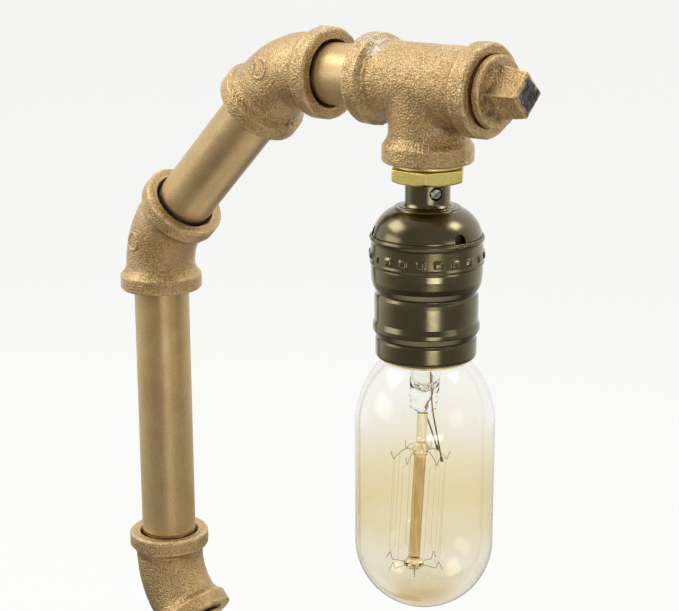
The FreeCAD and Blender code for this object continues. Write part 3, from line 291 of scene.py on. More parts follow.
class Look(Nodes):
    """A material in the making, with its Principled shader."""

    def __init__(self, name):
        self.material = bpy.data.materials.new(name)
        super().__init__(self.material)
        self.shader = self.tree.nodes["Principled BSDF"]

    def place(self, stretch=(1, 1, 1)):
        """The object's own coordinates, stretched along its axes."""
        place = self.add("TexCoord").outputs["Object"]
        if stretch == (1, 1, 1):
            return place
        return self.add("Mapping", {"Vector": place, "Scale": stretch}).outputs[0]

    def noise(self, scale, detail=2.0, rough=0.5, stretch=(1, 1, 1)):
        """A noise pattern from 0 to 1; scale is in patterns per metre."""
        inputs = {"Vector": self.place(stretch), "Scale": scale, "Detail": detail, "Roughness": rough}
        return self.add("TexNoise", inputs).outputs["Fac"]

    def mask(self, name):
        """A number stored on the mesh's vertices."""
        return self.add("Attribute", attribute_name=name).outputs["Fac"]

    def bump(self, height, depth, strength=1.0):
        """Relief in the shading, its depth in metres."""
        node = self.add("Bump", {"Height": height, "Strength": strength, "Distance": depth})
        self.join(self.shader.inputs["Normal"], node.outputs["Normal"])

    def feed(self, **sockets):
        """Set or link the shader's inputs; underscores stand for spaces."""
        for name, value in sockets.items():
            self.join(self.shader.inputs[name.replace("_", " ")], value)


# ---- materials
def cast_paint():
    """Gold-bronze paint over grainy cast iron: pale on its crests, partly rubbed paint and partly a
    painted highlight, darkened with painted shade in its creases, bare where cut.
    """
    look = Look("cast_bronze_paint")
    fine = look.noise(2600, 1.0)
    grain = look.noise(1500, 1.0, 0.4)
    coarse = look.noise(520)
    tone = look.ramp(look.noise(60, 3.0), [
        (0.32, (0.53, 0.355, 0.155)), (0.52, (0.61, 0.42, 0.19)), (0.72, (0.70, 0.50, 0.24))])
    speck = look.ramp(look.sum((fine, 0.3), (grain, 0.7)), [
        (0.34, (0.74, 0.67, 0.58)), (0.49, (0.98, 0.97, 0.95)), (0.62, (1.18, 1.15, 1.08))])
    tone = look.blend(1.0, tone, speck, "MULTIPLY")
    # Painted shade: the creases take a dark brown, as if shade fell in them.
    tone = look.blend(look.mask("crease_shade"), tone, (0.12, 0.072, 0.034))
    flakes = look.ramp(look.noise(620, 4.0, 0.75), [(0.47, 0.0), (0.55, 1.0)])
    scuff = look.math("MULTIPLY", look.mask("scuff"), flakes)
    tone = look.blend(scuff, tone, (0.70, 0.66, 0.60))
    iron = look.ramp(coarse, [(0.35, (0.012, 0.011, 0.011)), (0.62, (0.10, 0.093, 0.085))])
    tone = look.blend(look.mask("bare"), tone, iron)
    # Rubbed paint and painted highlight: the crests turn a pale gold.
    tone = look.blend(look.mask("rubbed_and_highlit_crest"), tone, (0.84, 0.62, 0.32))
    look.feed(Base_Color=tone, Metallic=0.85, Roughness=look.ramp(grain, [(0.3, 0.30), (0.7, 0.40)]),
              Coat_Weight=0.25, Coat_Roughness=0.22)
    look.bump(look.sum((coarse, 0.5), (grain, 1.3), (fine, 0.5)), 0.36 * MM)
    return look.material


def pipe_paint():
    """The same paint over drawn steel pipe: finer, and dark on the bare threads."""
    look = Look("pipe_bronze_paint")
    fine = look.noise(2600, 2.0, 0.6)
    tone = look.ramp(look.noise(60, 4.0, 0.6), [
        (0.32, (0.62, 0.425, 0.190)), (0.52, (0.70, 0.495, 0.228)), (0.74, (0.76, 0.56, 0.275))])
    speck = look.ramp(fine, [
        (0.35, (0.80, 0.77, 0.72)), (0.60, (1.0, 1.0, 1.0)), (0.74, (1.15, 1.13, 1.08))])
    tone = look.blend(1.0, tone, speck, "MULTIPLY")
    tone = look.blend(look.mask("thread"), tone, (0.030, 0.022, 0.015))
    rough = look.ramp(look.noise(130, 3.0), [(0.3, 0.34), (0.7, 0.44)])
    look.feed(Base_Color=tone, Metallic=0.65, Roughness=rough, Coat_Weight=0.25, Coat_Roughness=0.28)
    look.bump(look.sum((fine, 1.0), (look.noise(500), 0.8)), 0.12 * MM, 0.5)
    return look.material


def antique_brass():
    """Dark olive antique brass under clear lacquer."""
    look = Look("antique_brass")
    tone = look.ramp(look.noise(45, 3.0), [
        (0.30, (0.115, 0.093, 0.043)), (0.55, (0.155, 0.129, 0.061)), (0.78, (0.215, 0.183, 0.090))])
    edge = look.add("NewGeometry").outputs["Pointiness"]
    # Convex edges turn pale: rubbed brass, and a painted highlight along them.
    wear_and_highlight = look.ramp(edge, [(0.53, 0.0), (0.60, 0.7)])
    tone = look.blend(wear_and_highlight, tone, (0.62, 0.53, 0.32))
    crevice = look.ramp(edge, [(0.42, 0.9), (0.485, 0.0)])
    tone = look.blend(crevice, tone, (0.035, 0.027, 0.014))
    tone = look.blend(look.mask("raw"), tone, (0.86, 0.68, 0.34))
    rough = look.ramp(look.noise(260, 4.0, 0.6), [(0.35, 0.18), (0.70, 0.28)])
    look.feed(Base_Color=tone, Metallic=1.0, Roughness=rough, Coat_Weight=0.45, Coat_Roughness=0.08)
    look.bump(look.noise(1400, 3.0), 0.03 * MM, 0.35)
    return look.material


def machined_metal(name, light, dark, roughness, metallic=1.0, scale=300.0, depth=0.04 * MM):
    """A plain metal with uneven tarnish and fine tool marks."""
    look = Look(name)
    marks = look.noise(scale, 3.0, 0.6)
    tone = look.ramp(look.noise(90, 3.0), [(0.32, dark), (0.68, light)])
    rough = look.ramp(marks, [(0.3, roughness * 0.75), (0.7, roughness * 1.3)])
    look.feed(Base_Color=tone, Metallic=metallic, Roughness=rough)
    look.bump(marks, depth, 0.35)
    return look.material


def moulded(name, light, dark, roughness, scale=600.0):
    """A moulded or rubber surface with a fine grain."""
    look = Look(name)
    grain = look.noise(scale, 3.0, 0.6)
    tone = look.ramp(look.noise(120, 3.0), [(0.3, dark), (0.7, light)])
    rough = look.ramp(grain, [(0.3, roughness * 0.85), (0.7, min(1.0, roughness * 1.15))])
    look.feed(Base_Color=tone, Roughness=rough)
    look.bump(grain, 0.05 * MM, 0.5)
    return look.material


def stem_glass():
    """Plain clear glass with a faint cool tint, uneven as hand-worked glass is."""
    look = Look("stem_glass")
    tone = look.ramp(look.noise(45), [(0.3, (0.97, 0.985, 0.97)), (0.7, (0.9894, 1.0, 0.9894))])
    look.feed(Base_Color=tone, Transmission_Weight=1.0, Roughness=0.0, IOR=1.33)
    return look.material


def amber_glass():
    """The envelope's glass, clear at its neck and amber from the middle down."""
    look = Look("amber_glass")
    low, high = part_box("bulb_glass")
    height = look.add("SeparateXYZ", {"Vector": look.place()}).outputs["Z"]
    tint = look.ramp(look.map_range(height, low.z, high.z), [
        (0.0, (0.66, 0.46, 0.20)), (0.04, (0.91, 0.83, 0.63)), (0.09, (0.975, 0.957, 0.895)),
        (0.22, (0.963, 0.93, 0.835)), (0.34, (0.932, 0.853, 0.65)), (0.46, (0.935, 0.857, 0.645)),
        (0.58, (0.96, 0.93, 0.835)), (0.70, (0.983, 0.98, 0.96))])
    cloud = look.ramp(look.noise(60), [(0.3, (0.985, 0.985, 0.975)), (0.7, (1.0, 1.0, 1.0))])
    tone = look.blend(1.0, tint, cloud, "MULTIPLY")
    look.feed(Base_Color=tone, Transmission_Weight=1.0, Roughness=0.0, IOR=1.36)
    return look.material


def drawn_rod_glass():
    """Amber rod glass with the fine lengthwise streaks of drawing, darker below its upper button."""
    look = Look("rod_glass")
    tone = look.ramp(look.noise(1500, stretch=(1, 1, 0.012)), [
        (0.36, (0.66, 0.47, 0.22)), (0.48, (0.91, 0.77, 0.50)), (0.62, (0.99, 0.93, 0.76))])
    smoke = look.blend(look.mask("smoked"), (1.0, 1.0, 1.0), (0.80, 0.70, 0.55))
    tone = look.blend(1.0, tone, smoke, "MULTIPLY")
    look.feed(Base_Color=tone, Transmission_Weight=1.0, Roughness=0.02, IOR=1.5)
    return look.material


CAST = cast_paint()
PIPE = pipe_paint()
ANTIQUE = antique_brass()
BUSHING_BRASS = machined_metal("bushing_brass", (0.96, 0.80, 0.28), (0.82, 0.64, 0.18), 0.34,
                               scale=1900.0, depth=0.3 * MM)
BRIGHT_BRASS = machined_metal("bright_brass", (0.82, 0.62, 0.28), (0.64, 0.45, 0.18), 0.22)
STEEL = machined_metal("plated_steel", (0.62, 0.62, 0.61), (0.36, 0.36, 0.37), 0.25)
SOLDER = machined_metal("solder", (0.58, 0.58, 0.57), (0.40, 0.40, 0.40), 0.38)
CRIMP = machined_metal("lead_crimp", (0.10, 0.085, 0.05), (0.05, 0.04, 0.025), 0.4)
COPPER = machined_metal("copper_wire", (0.55, 0.28, 0.15), (0.30, 0.14, 0.08), 0.35)
LEAD_WIRE = machined_metal("lead_wire", (0.20, 0.165, 0.09), (0.12, 0.095, 0.05), 0.35)
FINE_WIRE = machined_metal("support_wire", (0.44, 0.36, 0.22), (0.32, 0.25, 0.15), 0.35, 0.5)
FILAMENT = machined_metal("filament_wire", (0.86, 0.76, 0.56), (0.74, 0.62, 0.42), 0.5, 0.1)
RUBBER = moulded("black_rubber", (0.035, 0.035, 0.035), (0.018, 0.018, 0.018), 0.72)
PHENOLIC = moulded("phenolic", (0.035, 0.028, 0.024), (0.015, 0.012, 0.010), 0.30)
FIBRE = moulded("fibre_board", (0.085, 0.060, 0.042), (0.045, 0.032, 0.022), 0.80, 900.0)
INSULATION = moulded("wire_insulation", (0.06, 0.045, 0.035), (0.035, 0.025, 0.02), 0.55)
BLACK_GLASS = moulded("black_glass", (0.012, 0.012, 0.014), (0.006, 0.006, 0.007), 0.12, 200.0)
AMBER = amber_glass()
STEM_GLASS = stem_glass()
ROD_GLASS = drawn_rod_glass()


# ---- pipes
def pipe_line(node, heading):
    """Where a pipe starts, and its length, from its box and its heading."""
    low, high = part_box(node)
    run = Vector((sin(heading), 0, cos(heading)))
    disc = Vector((PIPE_R * abs(run.z), 0, PIPE_R * abs(run.x)))
    size = high - low - disc * 2
    length = hypot(size.x, size.z)
    start = (low + high) / 2 - run * (length / 2)
    return start, length


def thread_wave(length):
    """The helical threads at both ends of a pipe, fading out into plain wall."""
    def wave(angles, radius, height):
        if radius < PIPE_R * 0.9:
            return np.full(len(angles), radius)
        inside = min(height, length - height)
        fade = smooth_step((THREAD_LENGTH - inside) / (2 * MM))
        phase = (height / THREAD_PITCH - angles / TURN) % 1.0
        return radius - THREAD_DEPTH * fade * np.abs(phase * 2 - 1)
    return wave


def painted_pipe(node, body, heading):
    """A nipple with threaded ends under its paint."""
    start, length = pipe_line(node, heading)
    chamfer = 0.8 * MM
    step = THREAD_PITCH / 7
    levels = [chamfer + step * n for n in range(int(THREAD_LENGTH / step))]
    levels += [length - level for level in reversed(levels)]
    rows = [(PIPE_BORE_R, 0.0), (PIPE_R - chamfer, 0.0)] + [(PIPE_R, level) for level in levels]
    rows += [(PIPE_R - chamfer, length), (PIPE_BORE_R, length)]
    place = Matrix.Translation(start) @ heading_matrix(heading)
    piece = turned(node + "_threaded", rows, place, 112, thread_wave(length))
    points = rows_of(piece.data.vertices) - np.array(start)
    along = points @ np.array(place.to_3x3() @ Z_AXIS)
    inside = np.minimum(along, length - along)
    set_mask(piece.data, "thread", smooth_step((THREAD_LENGTH - 0.4 * MM - inside) / (1.2 * MM)))
    dress(piece, body, PIPE, "pipe_finish", node)


painted_pipe("close_nipple", "base", 0.0)
painted_pipe("base_nipple", "base", 0.0)
painted_pipe("lower_diagonal_pipe", "base", -ELBOW_TURN)
painted_pipe("upright_pipe", "base", 0.0)
painted_pipe("upper_diagonal_pipe", "arm", ELBOW_TURN)
painted_pipe("short_nipple", "arm", QUARTER)


# ---- cast fittings
FILLET_REACH, WEAR_REACH = 2.0 * MM, 1.0 * MM
PASSES_PER_REACH = 3.84
SEAM_HEIGHT, SEAM_HALF = 0.28 * MM, 0.45 * MM
RING_R, RING_HEIGHT, RING_HALF = 3.3 * MM, 0.5 * MM, 0.42 * MM
GATE_HEIGHT = 0.7 * MM
SOCKET_MOUTH_R = 12.6 * MM


def evaluated_mesh(piece):
    """A new mesh of a piece with its modifiers applied."""
    graph = bpy.context.evaluated_depsgraph_get()
    return bpy.data.meshes.new_from_object(piece.evaluated_get(graph))


def remeshed(node, name, voxel, passes):
    """A copy of a CAD node with even fine faces and soft edges."""
    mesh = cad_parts[node].data.copy()
    work = bmesh.new()
    work.from_mesh(mesh)
    bmesh.ops.remove_doubles(work, verts=work.verts, dist=1e-6)
    work.to_mesh(mesh)
    work.free()
    rough = link(name + "_source", mesh)
    remesh = rough.modifiers.new("even", "REMESH")
    remesh.mode = "VOXEL"
    remesh.voxel_size = voxel
    soften = rough.modifiers.new("soft", "SMOOTH")
    soften.factor = 0.5
    soften.iterations = passes
    shaped = evaluated_mesh(rough)
    bpy.data.objects.remove(rough)
    shaped.name = name
    shaped.shade_smooth()
    return link(name, shaped)


def seam_ridge(points, seed):
    """The parting line of the casting, a broken low ridge where the run's plane cuts the outside."""
    near = np.exp(-(points[:, 1] / SEAM_HALF) ** 2)
    broken = smooth_step(noise_at(points, 160, seed) * 2.2 + 0.75)
    return near * broken * SEAM_HEIGHT


def ring_mark(away):
    """A plain raised ring on the side of the casting that faces -Y."""
    across = np.hypot(away[:, 0], away[:, 2])
    ring = np.exp(-((across - RING_R) / RING_HALF) ** 2)
    return np.where(away[:, 1] < 0, ring, 0.0) * RING_HEIGHT


def smoothed(mesh, points, passes):
    """The vertices after some passes of even smoothing over the mesh's edges."""
    edges = np.zeros(len(mesh.edges) * 2, np.int32)
    mesh.edges.foreach_get("vertices", edges)
    first, second = edges.reshape(-1, 2).T
    total = len(points)
    share = 0.5 / np.maximum(np.bincount(edges, minlength=total), 1)
    smooth = points.copy()
    for _ in range(passes):
        for axis in range(3):
            level = smooth[:, axis]
            beside = np.bincount(first, level[second], total) + np.bincount(second, level[first], total)
            smooth[:, axis] = level * 0.5 + beside * share
    return smooth


def proud_of(mesh, points, normals, reach, voxel):
    """How far each vertex stands out from the surface about it, smoothed over a reach, in metres."""
    passes = round(PASSES_PER_REACH * (reach / voxel) ** 2)
    return ((points - smoothed(mesh, points, passes)) * normals).sum(1)


def distance_from(local, place):
    """How far each vertex lies from a place given in millimetres."""
    return np.linalg.norm(local - np.array(place) * MM, axis=1)


def cast_relief(points, local, normals, reach, headings, marks, gates, seed):
    """How far the casting's lumps, parting line, rings and gate stubs lift each vertex."""
    inside = np.zeros(len(points), bool)
    mouth = np.zeros(len(points))
    for heading in headings:
        run = np.array((sin(heading), 0, cos(heading)))
        along = local @ run
        radial = local - np.outer(along, run)
        inward = (radial * normals).sum(1) < 0
        inside |= inward & (along > 0) & (np.linalg.norm(radial, axis=1) < SOCKET_MOUTH_R)
        mouth = np.maximum(mouth, smooth_step((along - reach + 1.2 * MM) / (0.8 * MM)))
    lumps = noise_at(points, 130, seed) * 0.13 * MM + noise_at(points, 430, seed + 1) * 0.10 * MM
    lift = lumps * (1 - 0.6 * mouth)
    if headings:
        lift += seam_ridge(local, seed) * (1 - mouth)
    for offset in marks:
        lift += ring_mark(local - np.array(offset) * MM)
    for place, radius in gates:
        ragged = 1.0 + 0.6 * noise_at(points, 700, seed + 2)
        away = distance_from(local, place) / (radius * MM)
        lift += smooth_step(1.3 - away) * ragged * GATE_HEIGHT
    return np.where(inside, 0.0, lift)


def cast_fitting(node, body, middle, seed, reach=0.0, headings=(), marks=(), scuffs=(), gates=(),
                 bare_x=None, voxel=VOXEL, fill=1.0):
    """A malleable fitting: the CAD form with soft edges, cast grain, parting line and plain marks.

    Its sockets reach out from the middle along the headings. In millimetres from the middle, marks
    are places of plain rings, scuffs are (place, radius) patches that have lost their paint and
    gates are (place, radius) stubs left by the casting. Past bare_x the iron is bare.
    """
    piece = remeshed(node, node + "_cast", voxel, 1)
    mesh = piece.data
    points = rows_of(mesh.vertices)
    normals = rows_of(mesh.vertex_normals, "vector")
    proud = proud_of(mesh, points, normals, FILLET_REACH, voxel)
    points += normals * (np.clip(-proud - 0.03 * MM, 0, 1) * 1.1 * fill)[:, None]
    local = points - np.array(middle)
    lift = cast_relief(points, local, normals, reach, headings, marks, gates, seed)
    points += normals * lift[:, None]
    mesh.vertices.foreach_set("co", points.ravel())
    mesh.update()
    proud = proud_of(mesh, points, rows_of(mesh.vertex_normals, "vector"), WEAR_REACH, voxel)
    # Crests: rubbed paint plus a painted highlight, made uneven by noise.
    wear_and_highlight = 0.5 + 0.8 * noise_at(points, 350, seed + 4)
    # Painted shade in the creases, made uneven by noise.
    shade_patchiness = 0.65 + 0.6 * noise_at(points, 200, seed + 6)
    set_mask(mesh, "rubbed_and_highlit_crest", smooth_step((proud - 0.075 * MM) / (0.12 * MM)) * wear_and_highlight)
    set_mask(mesh, "crease_shade", smooth_step((-0.02 * MM - proud) / (0.12 * MM)) * shade_patchiness)
    scuff = np.zeros(len(points))
    for place, radius in scuffs:
        scuff = np.maximum(scuff, smooth_step(1.4 - distance_from(local, place) / (radius * MM)))
    set_mask(mesh, "scuff", scuff)
    if bare_x is not None:
        ragged = noise_at(points, 600, seed + 3) * 0.35 * MM
        set_mask(mesh, "bare", smooth_step((points[:, 0] + ragged - bare_x) / (0.25 * MM)))
    dress(piece, body, CAST, "fitting_finish", node)


pipe_x = centre("upright_pipe").x
run_z = centre("short_nipple").z
lamp_x = centre("screw_shell").x
shoulder = Vector((pipe_x, 0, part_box("shoulder_elbow")[0].z + ELBOW_REACH))
hip = Vector((pipe_x, 0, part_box("hip_elbow")[1].z - ELBOW_REACH))
foot = Vector((0, 0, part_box("foot_elbow")[0].z + ELBOW_REACH))
bend_top = Vector((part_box("upper_elbow")[1].x - ELBOW_REACH, 0, run_z))
head = Vector((lamp_x, 0, run_z))
base_tee = Vector((0, 0, centre("inlet_grommet").z))
TEE_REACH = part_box("head_tee")[1].x - lamp_x

cast_fitting("shoulder_elbow", "arm", shoulder, 1, ELBOW_REACH, [HALF, ELBOW_TURN],
             marks=[(-1.5, 0, -1.0)], scuffs=[((-12, -4, 14), 5)])
cast_fitting("upper_elbow", "arm", bend_top, 2, ELBOW_REACH, [HALF + ELBOW_TURN, QUARTER],
             marks=[(-2.0, 0, 1.0)], scuffs=[((17, -2, 15.5), 3.5), ((-14, -7, -4), 3)],
             gates=[((-10.5, 0, 9.5), 2.2)])
cast_fitting("hip_elbow", "base", hip, 3, ELBOW_REACH, [0.0, HALF - ELBOW_TURN])
cast_fitting("foot_elbow", "base", foot, 4, ELBOW_REACH, [HALF, -ELBOW_TURN])
cast_fitting("head_tee", "head", head, 5, TEE_REACH, [-QUARTER, QUARTER, HALF],
             scuffs=[((-20, -5, 15), 5), ((-16, -8, 11), 3)])
cast_fitting("base_tee", "base", base_tee, 6, TEE_REACH, [0.0, HALF, -QUARTER])
cast_fitting("floor_flange", "base", Vector(), 7)
cast_fitting("square_plug", "head", centre("square_plug"), 8,
             bare_x=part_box("square_plug")[1].x - 0.35 * MM, voxel=VOXEL * 0.7, fill=0.5)
cast_fitting("inlet_bushing", "base", centre("inlet_bushing"), 9)


# ---- lamp holder
# Outlines are (radius, station) in millimetres; stations grow downwards from the head tee's centre.
HUNG = Matrix.Translation(head) @ Matrix.Rotation(HALF, 4, "X")
NECK_TOP, NECK_END, COLLAR_TOP, LIP = 31.8, 40.1, 49.8, 93.1
SLOT_BEARINGS = [radians(-14.5 + 120 * n) for n in range(3)]
BEAD_BEARING = radians(-39.5)
BEAD_COUNT = 20
BEAD_STATION = 56.35 * MM
SCREW_BEARING = radians(-29.0)
SCREW_STATION = 35.1
SWITCH_BEARING = radians(132.0)
SWITCH_STATION = 62.9


def in_millimetres(outline):
    """An outline given in millimetres, as vectors in metres."""
    return [Vector(corner) * MM for corner in outline]


def stations(node):
    """The stations of a node's upper and lower end."""
    low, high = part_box(node)
    return (run_z - high.z) / MM, (run_z - low.z) / MM


def smooth_outline(corners, longest=0.6):
    """A closed outline in millimetres with its fillets rounded, in short steps, in metres."""
    return refined(in_millimetres(rounded(corners, 6)), longest * MM)


def arc_between(start, end, radius, count=14):
    """Points of an arc from start to end that bulges to the left of that direction."""
    start, end = Vector(start), Vector(end)
    chord = end - start
    across = Vector((-chord.y, chord.x)).normalized()
    middle = (start + end) / 2 - across * sqrt(radius ** 2 - (chord.length / 2) ** 2)
    first = atan2(start.y - middle.y, start.x - middle.x)
    sweep = (end - middle).angle_signed(start - middle)
    return [(middle.x + radius * cos(first + sweep * n / count),
             middle.y + radius * sin(first + sweep * n / count)) for n in range(count + 1)]


def outward(bearing, station):
    """A frame on the lamp's axis whose +Z points out along a bearing and whose +Y points up."""
    upright = Matrix.Rotation(QUARTER, 4, "Y") @ Matrix.Rotation(QUARTER, 4, "Z")
    place = Matrix.Translation(head - Z_AXIS * station * MM)
    return place @ Matrix.Rotation(bearing, 4, "Z") @ upright


def cutter(outline, start, end, place):
    """A prism over an outline (x, y) in millimetres from z = start to end, for cutting holes."""
    count = len(outline)
    points = [place @ (Vector((x, y, z)) * MM) for z in (start, end) for x, y in outline]
    faces = [tuple(range(count)), tuple(range(count, 2 * count))]
    return mesh_piece("cutter", points, faces + band(0, count, count))


def cut(piece, tools, sharp=35.0):
    """Cut each tool out of a piece and remove the tools."""
    for tool in tools:
        hole = piece.modifiers.new("hole", "BOOLEAN")
        hole.operation = "DIFFERENCE"
        hole.solver = "EXACT"
        hole.object = tool
    shaped = evaluated_mesh(piece)
    piece.modifiers.clear()
    shaped.name = piece.data.name
    piece.data = shaped
    shaped.set_sharp_from_angle(angle=radians(sharp))
    for tool in tools:
        bpy.data.objects.remove(tool)
    return piece


def circle_outline(radius, count=32):
    """Points (x, y) round a circle."""
    return [(radius * cos(TURN * n / count), radius * sin(TURN * n / count)) for n in range(count)]


def socket_cap():
    """The cap: neck, low step, dome with three arched slots, and the set screw's hole."""
    dome = arc_between((18.45, 49.8), (11.35, 40.95), 12.0)
    inner_dome = arc_between((10.5, 41.7), (17.5, 49.9), 11.2)
    outline = [
        (5.25, NECK_TOP), (7.25, NECK_TOP, 0.2), (7.6, NECK_TOP + 0.3, 0.3),
        (7.6, NECK_END - 1.1, 0.9), (8.35, NECK_END - 0.15, 0.35), (9.5, NECK_END - 0.1, 0.25),
        (9.75, NECK_END + 0.15, 0.15), (11.0, NECK_END + 0.25, 0.45), (11.25, NECK_END + 0.75, 0.1)]
    outline += dome[::-1]
    outline += [(18.3, 50.2), (18.3, 53.8), (17.5, 53.8)] + inner_dome[::-1] + [(5.25, 41.7)]
    piece = turned("socket_cap_drawn", smooth_outline(outline), HUNG, 224)
    tools = []
    for bearing in SLOT_BEARINGS:
        place = outward(bearing, COLLAR_TOP)
        arch = [(2.2 * cos(a), 0.9 + 2.0 * sin(a)) for a in np.linspace(0, pi, 13)]
        tools.append(cutter([(-2.2, -1.0), (2.2, -1.0)] + arch, 13.0, 22.0, place))
    tools.append(cutter(circle_outline(2.3), 4.0, 9.0, outward(SCREW_BEARING, SCREW_STATION)))
    dress(cut(piece, tools), "head", ANTIQUE, "socket_brass", "socket_cap")


def bead_wave(angles, radius, height):
    """The collar's rounded square bosses, and a dimple in its rim under each slot."""
    radii = np.full(len(angles), radius)
    if radius < 18.75 * MM:
        return radii
    rise = smooth_step((1.35 * MM - abs(height - BEAD_STATION)) / (0.6 * MM))
    if rise > 0:
        step = TURN / BEAD_COUNT
        aside = (angles + BEAD_BEARING + step / 2) % step - step / 2
        radii += rise * smooth_step((1.5 * MM - np.abs(aside) * radius) / (0.6 * MM)) * 0.6 * MM
    rim = smooth_step((51.6 * MM - height) / (0.8 * MM))
    if rim > 0:
        for bearing in SLOT_BEARINGS:
            aside = np.abs((angles + bearing + HALF) % TURN - HALF) * radius
            radii -= rim * smooth_step((1.9 * MM - aside) / (0.9 * MM)) * 0.35 * MM
    return radii


def socket_shell():
    """The shell: rolled rim, bossed collar, steps, rolled ridge and a lip curled inwards."""
    outline = [
        (18.4, 50.4), (18.55, 49.95, 0.2), (19.1, 49.95, 0.35), (19.36, 50.9, 0.6), (18.93, 51.8, 0.4),
        (18.80, 52.6, 0.5), (19.10, 58.2, 0.5), (19.30, 59.1, 0.4), (18.66, 59.75, 0.3),
        (18.78, 60.4, 0.4), (18.80, 62.4, 2.0), (18.62, 65.2, 2.0), (18.2, 67.0, 1.2), (17.2, 68.8, 0.6),
        (16.95, 69.6, 0.6), (17.5, 70.5, 0.6), (17.6, 72.0, 0.5), (17.56, 78.9, 0.4), (18.14, 80.7, 0.9),
        (18.14, 82.2, 1.0), (17.05, 84.2, 0.5), (16.85, 84.9, 0.5), (17.2, 85.6, 0.5),
        (17.2, 91.3, 1.7), (15.35, 93.1, 0.5), (15.2, 92.7), (16.3, 91.2, 0.8), (16.3, 86.0),
        (16.2, 84.0), (16.8, 80.0), (16.75, 71.0), (16.3, 69.3), (17.9, 66.4), (18.0, 60.4),
        (18.3, 59.2), (18.4, 52.0)]
    piece = turned("socket_shell_spun", smooth_outline(outline, 0.3), HUNG,
                   480, bead_wave, 50.0)
    hole = cutter(circle_outline(1.95), 14.0, 22.0, outward(SWITCH_BEARING, SWITCH_STATION))
    cut(piece, [hole], 50.0)
    points = rows_of(piece.data.vertices)
    radius = np.hypot(points[:, 0] - lamp_x, points[:, 1]) / MM
    station = (run_z - points[:, 2]) / MM
    edge = 91.9 + 0.4 * noise_at(points, 300, 21)
    set_mask(piece.data, "raw", smooth_step((station - edge) / 0.3) * smooth_step((16.7 - radius) / 0.4))
    dress(piece, "head", ANTIQUE, "socket_brass", "socket_shell")


def set_screw():
    """The slotted steel set screw in the neck."""
    outline = [(0, 5.3), (1.85, 5.3), (1.85, 7.3, 0.3), (1.5, 7.75, 0.3), (0, 7.85)]
    place = outward(SCREW_BEARING, SCREW_STATION)
    piece = turned("cap_set_screw_slotted", smooth_outline(outline, 0.3), place, 48)
    slot = cutter([(-3, -0.4), (3, -0.4), (3, 0.4), (-3, 0.4)], 7.15, 9.0,
                  place @ Matrix.Rotation(radians(35), 4, "Z"))
    dress(cut(piece, [slot]), "head", STEEL, "plain_steel", "cap_set_screw")


def hexagon_bushing():
    """The brass bushing with soft hexagon edges."""
    piece = remeshed("hex_bushing", "hex_bushing_turned", VOXEL * 0.6, 2)
    dress(piece, "head", BUSHING_BRASS, "bushing_brass", "hex_bushing")


def thread_profile(start, end, radius, pitch, depth, fade=1.0):
    """A wave for turned(): rounded screw threads between two stations, in millimetres."""
    def wave(angles, here, height):
        if abs(here - radius * MM) > 0.02 * MM:
            return np.full(len(angles), here)
        level = height / MM
        share = smooth_step(min(level - start, end - level) / fade)
        phase = level / pitch + angles / TURN
        return here - share * depth * MM * (0.5 - 0.5 * np.cos(TURN * phase))
    return wave


def even_wall(radius, start, end, step):
    """Outline points down a straight wall, close enough together to carry a thread."""
    count = int((end - start) / step)
    return [(radius, start + (end - start) * n / count) for n in range(count + 1)]


def lamp_nipple():
    """The running-threaded lamp nipple."""
    start, end = stations("lamp_nipple")
    wall = even_wall(5.15, start + 0.4, end - 0.4, 0.16)
    outline = [(3.5, start), (4.75, start)] + wall + [(4.75, end), (3.5, end)]
    piece = turned("lamp_nipple_threaded", in_millimetres(outline), HUNG, 64,
                   thread_profile(start, end, 5.15, 0.941, 0.5, 0.5), 60.0)
    dress(piece, "head", STEEL, "plain_steel", "lamp_nipple")


def screw_shell():
    """The holder's threaded brass shell."""
    start, end = stations("screw_shell")
    wall = even_wall(13.95, start, end, 0.45)
    outline = wall + [(13.45, end), (13.45, start)]
    piece = turned("screw_shell_rolled", in_millimetres(outline), HUNG, 96,
                   thread_profile(start, end, 13.95, 3.629, 0.35, 3.0), 60.0)
    dress(piece, "head", BRIGHT_BRASS, "bright_brass", "screw_shell")


def switch_knob():
    """The fluted brass knob with a domed end, on its stem."""
    place = outward(SWITCH_BEARING, SWITCH_STATION)
    outline = [(0, 11.0), (1.5, 11.0)] + even_wall(1.5, 11.4, 21.2, 1.0) + [
        (1.5, 21.9, 0.3), (3.1, 21.9, 0.5), (3.5, 22.9, 0.4), (4.75, 23.6, 0.7), (4.75, 31.6, 1.0),
        (3.6, 32.6, 0.8), (0, 32.88)]

    def flutes(angles, radius, height):
        share = smooth_step((radius - 4.0 * MM) / (0.5 * MM))
        return radius - share * 0.42 * MM * (0.5 - 0.5 * np.cos(14 * angles)) ** 2

    piece = turned("switch_knob_fluted", smooth_outline(outline, 0.6), place, 168, flutes, 50.0)
    dress(piece, "switch", ANTIQUE, "socket_brass", "switch_knob")


def grommet():
    """The rubber grommet with soft lips."""
    low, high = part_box("inlet_grommet")
    depth = (high.x - low.x) / MM
    outline = [(3.5, 0, 0.4), (5.25, 0, 0.3), (5.25, depth - 1.8), (7.45, depth - 1.8, 0.5),
               (7.45, depth, 0.8), (3.5, depth, 0.8)]
    place = Matrix.Translation((high.x, 0, base_tee.z)) @ heading_matrix(-QUARTER)
    piece = turned("inlet_grommet_moulded", smooth_outline(outline, 0.8), place, 96)
    dress(piece, "base", RUBBER, "grommet_rubber", "inlet_grommet")


socket_cap()
socket_shell()
set_screw()
hexagon_bushing()
lamp_nipple()
screw_shell()
switch_knob()
grommet()
dress(remeshed("base_pad", "base_pad_moulded", VOXEL, 2), "base", RUBBER, "pad_rubber", "base_pad")


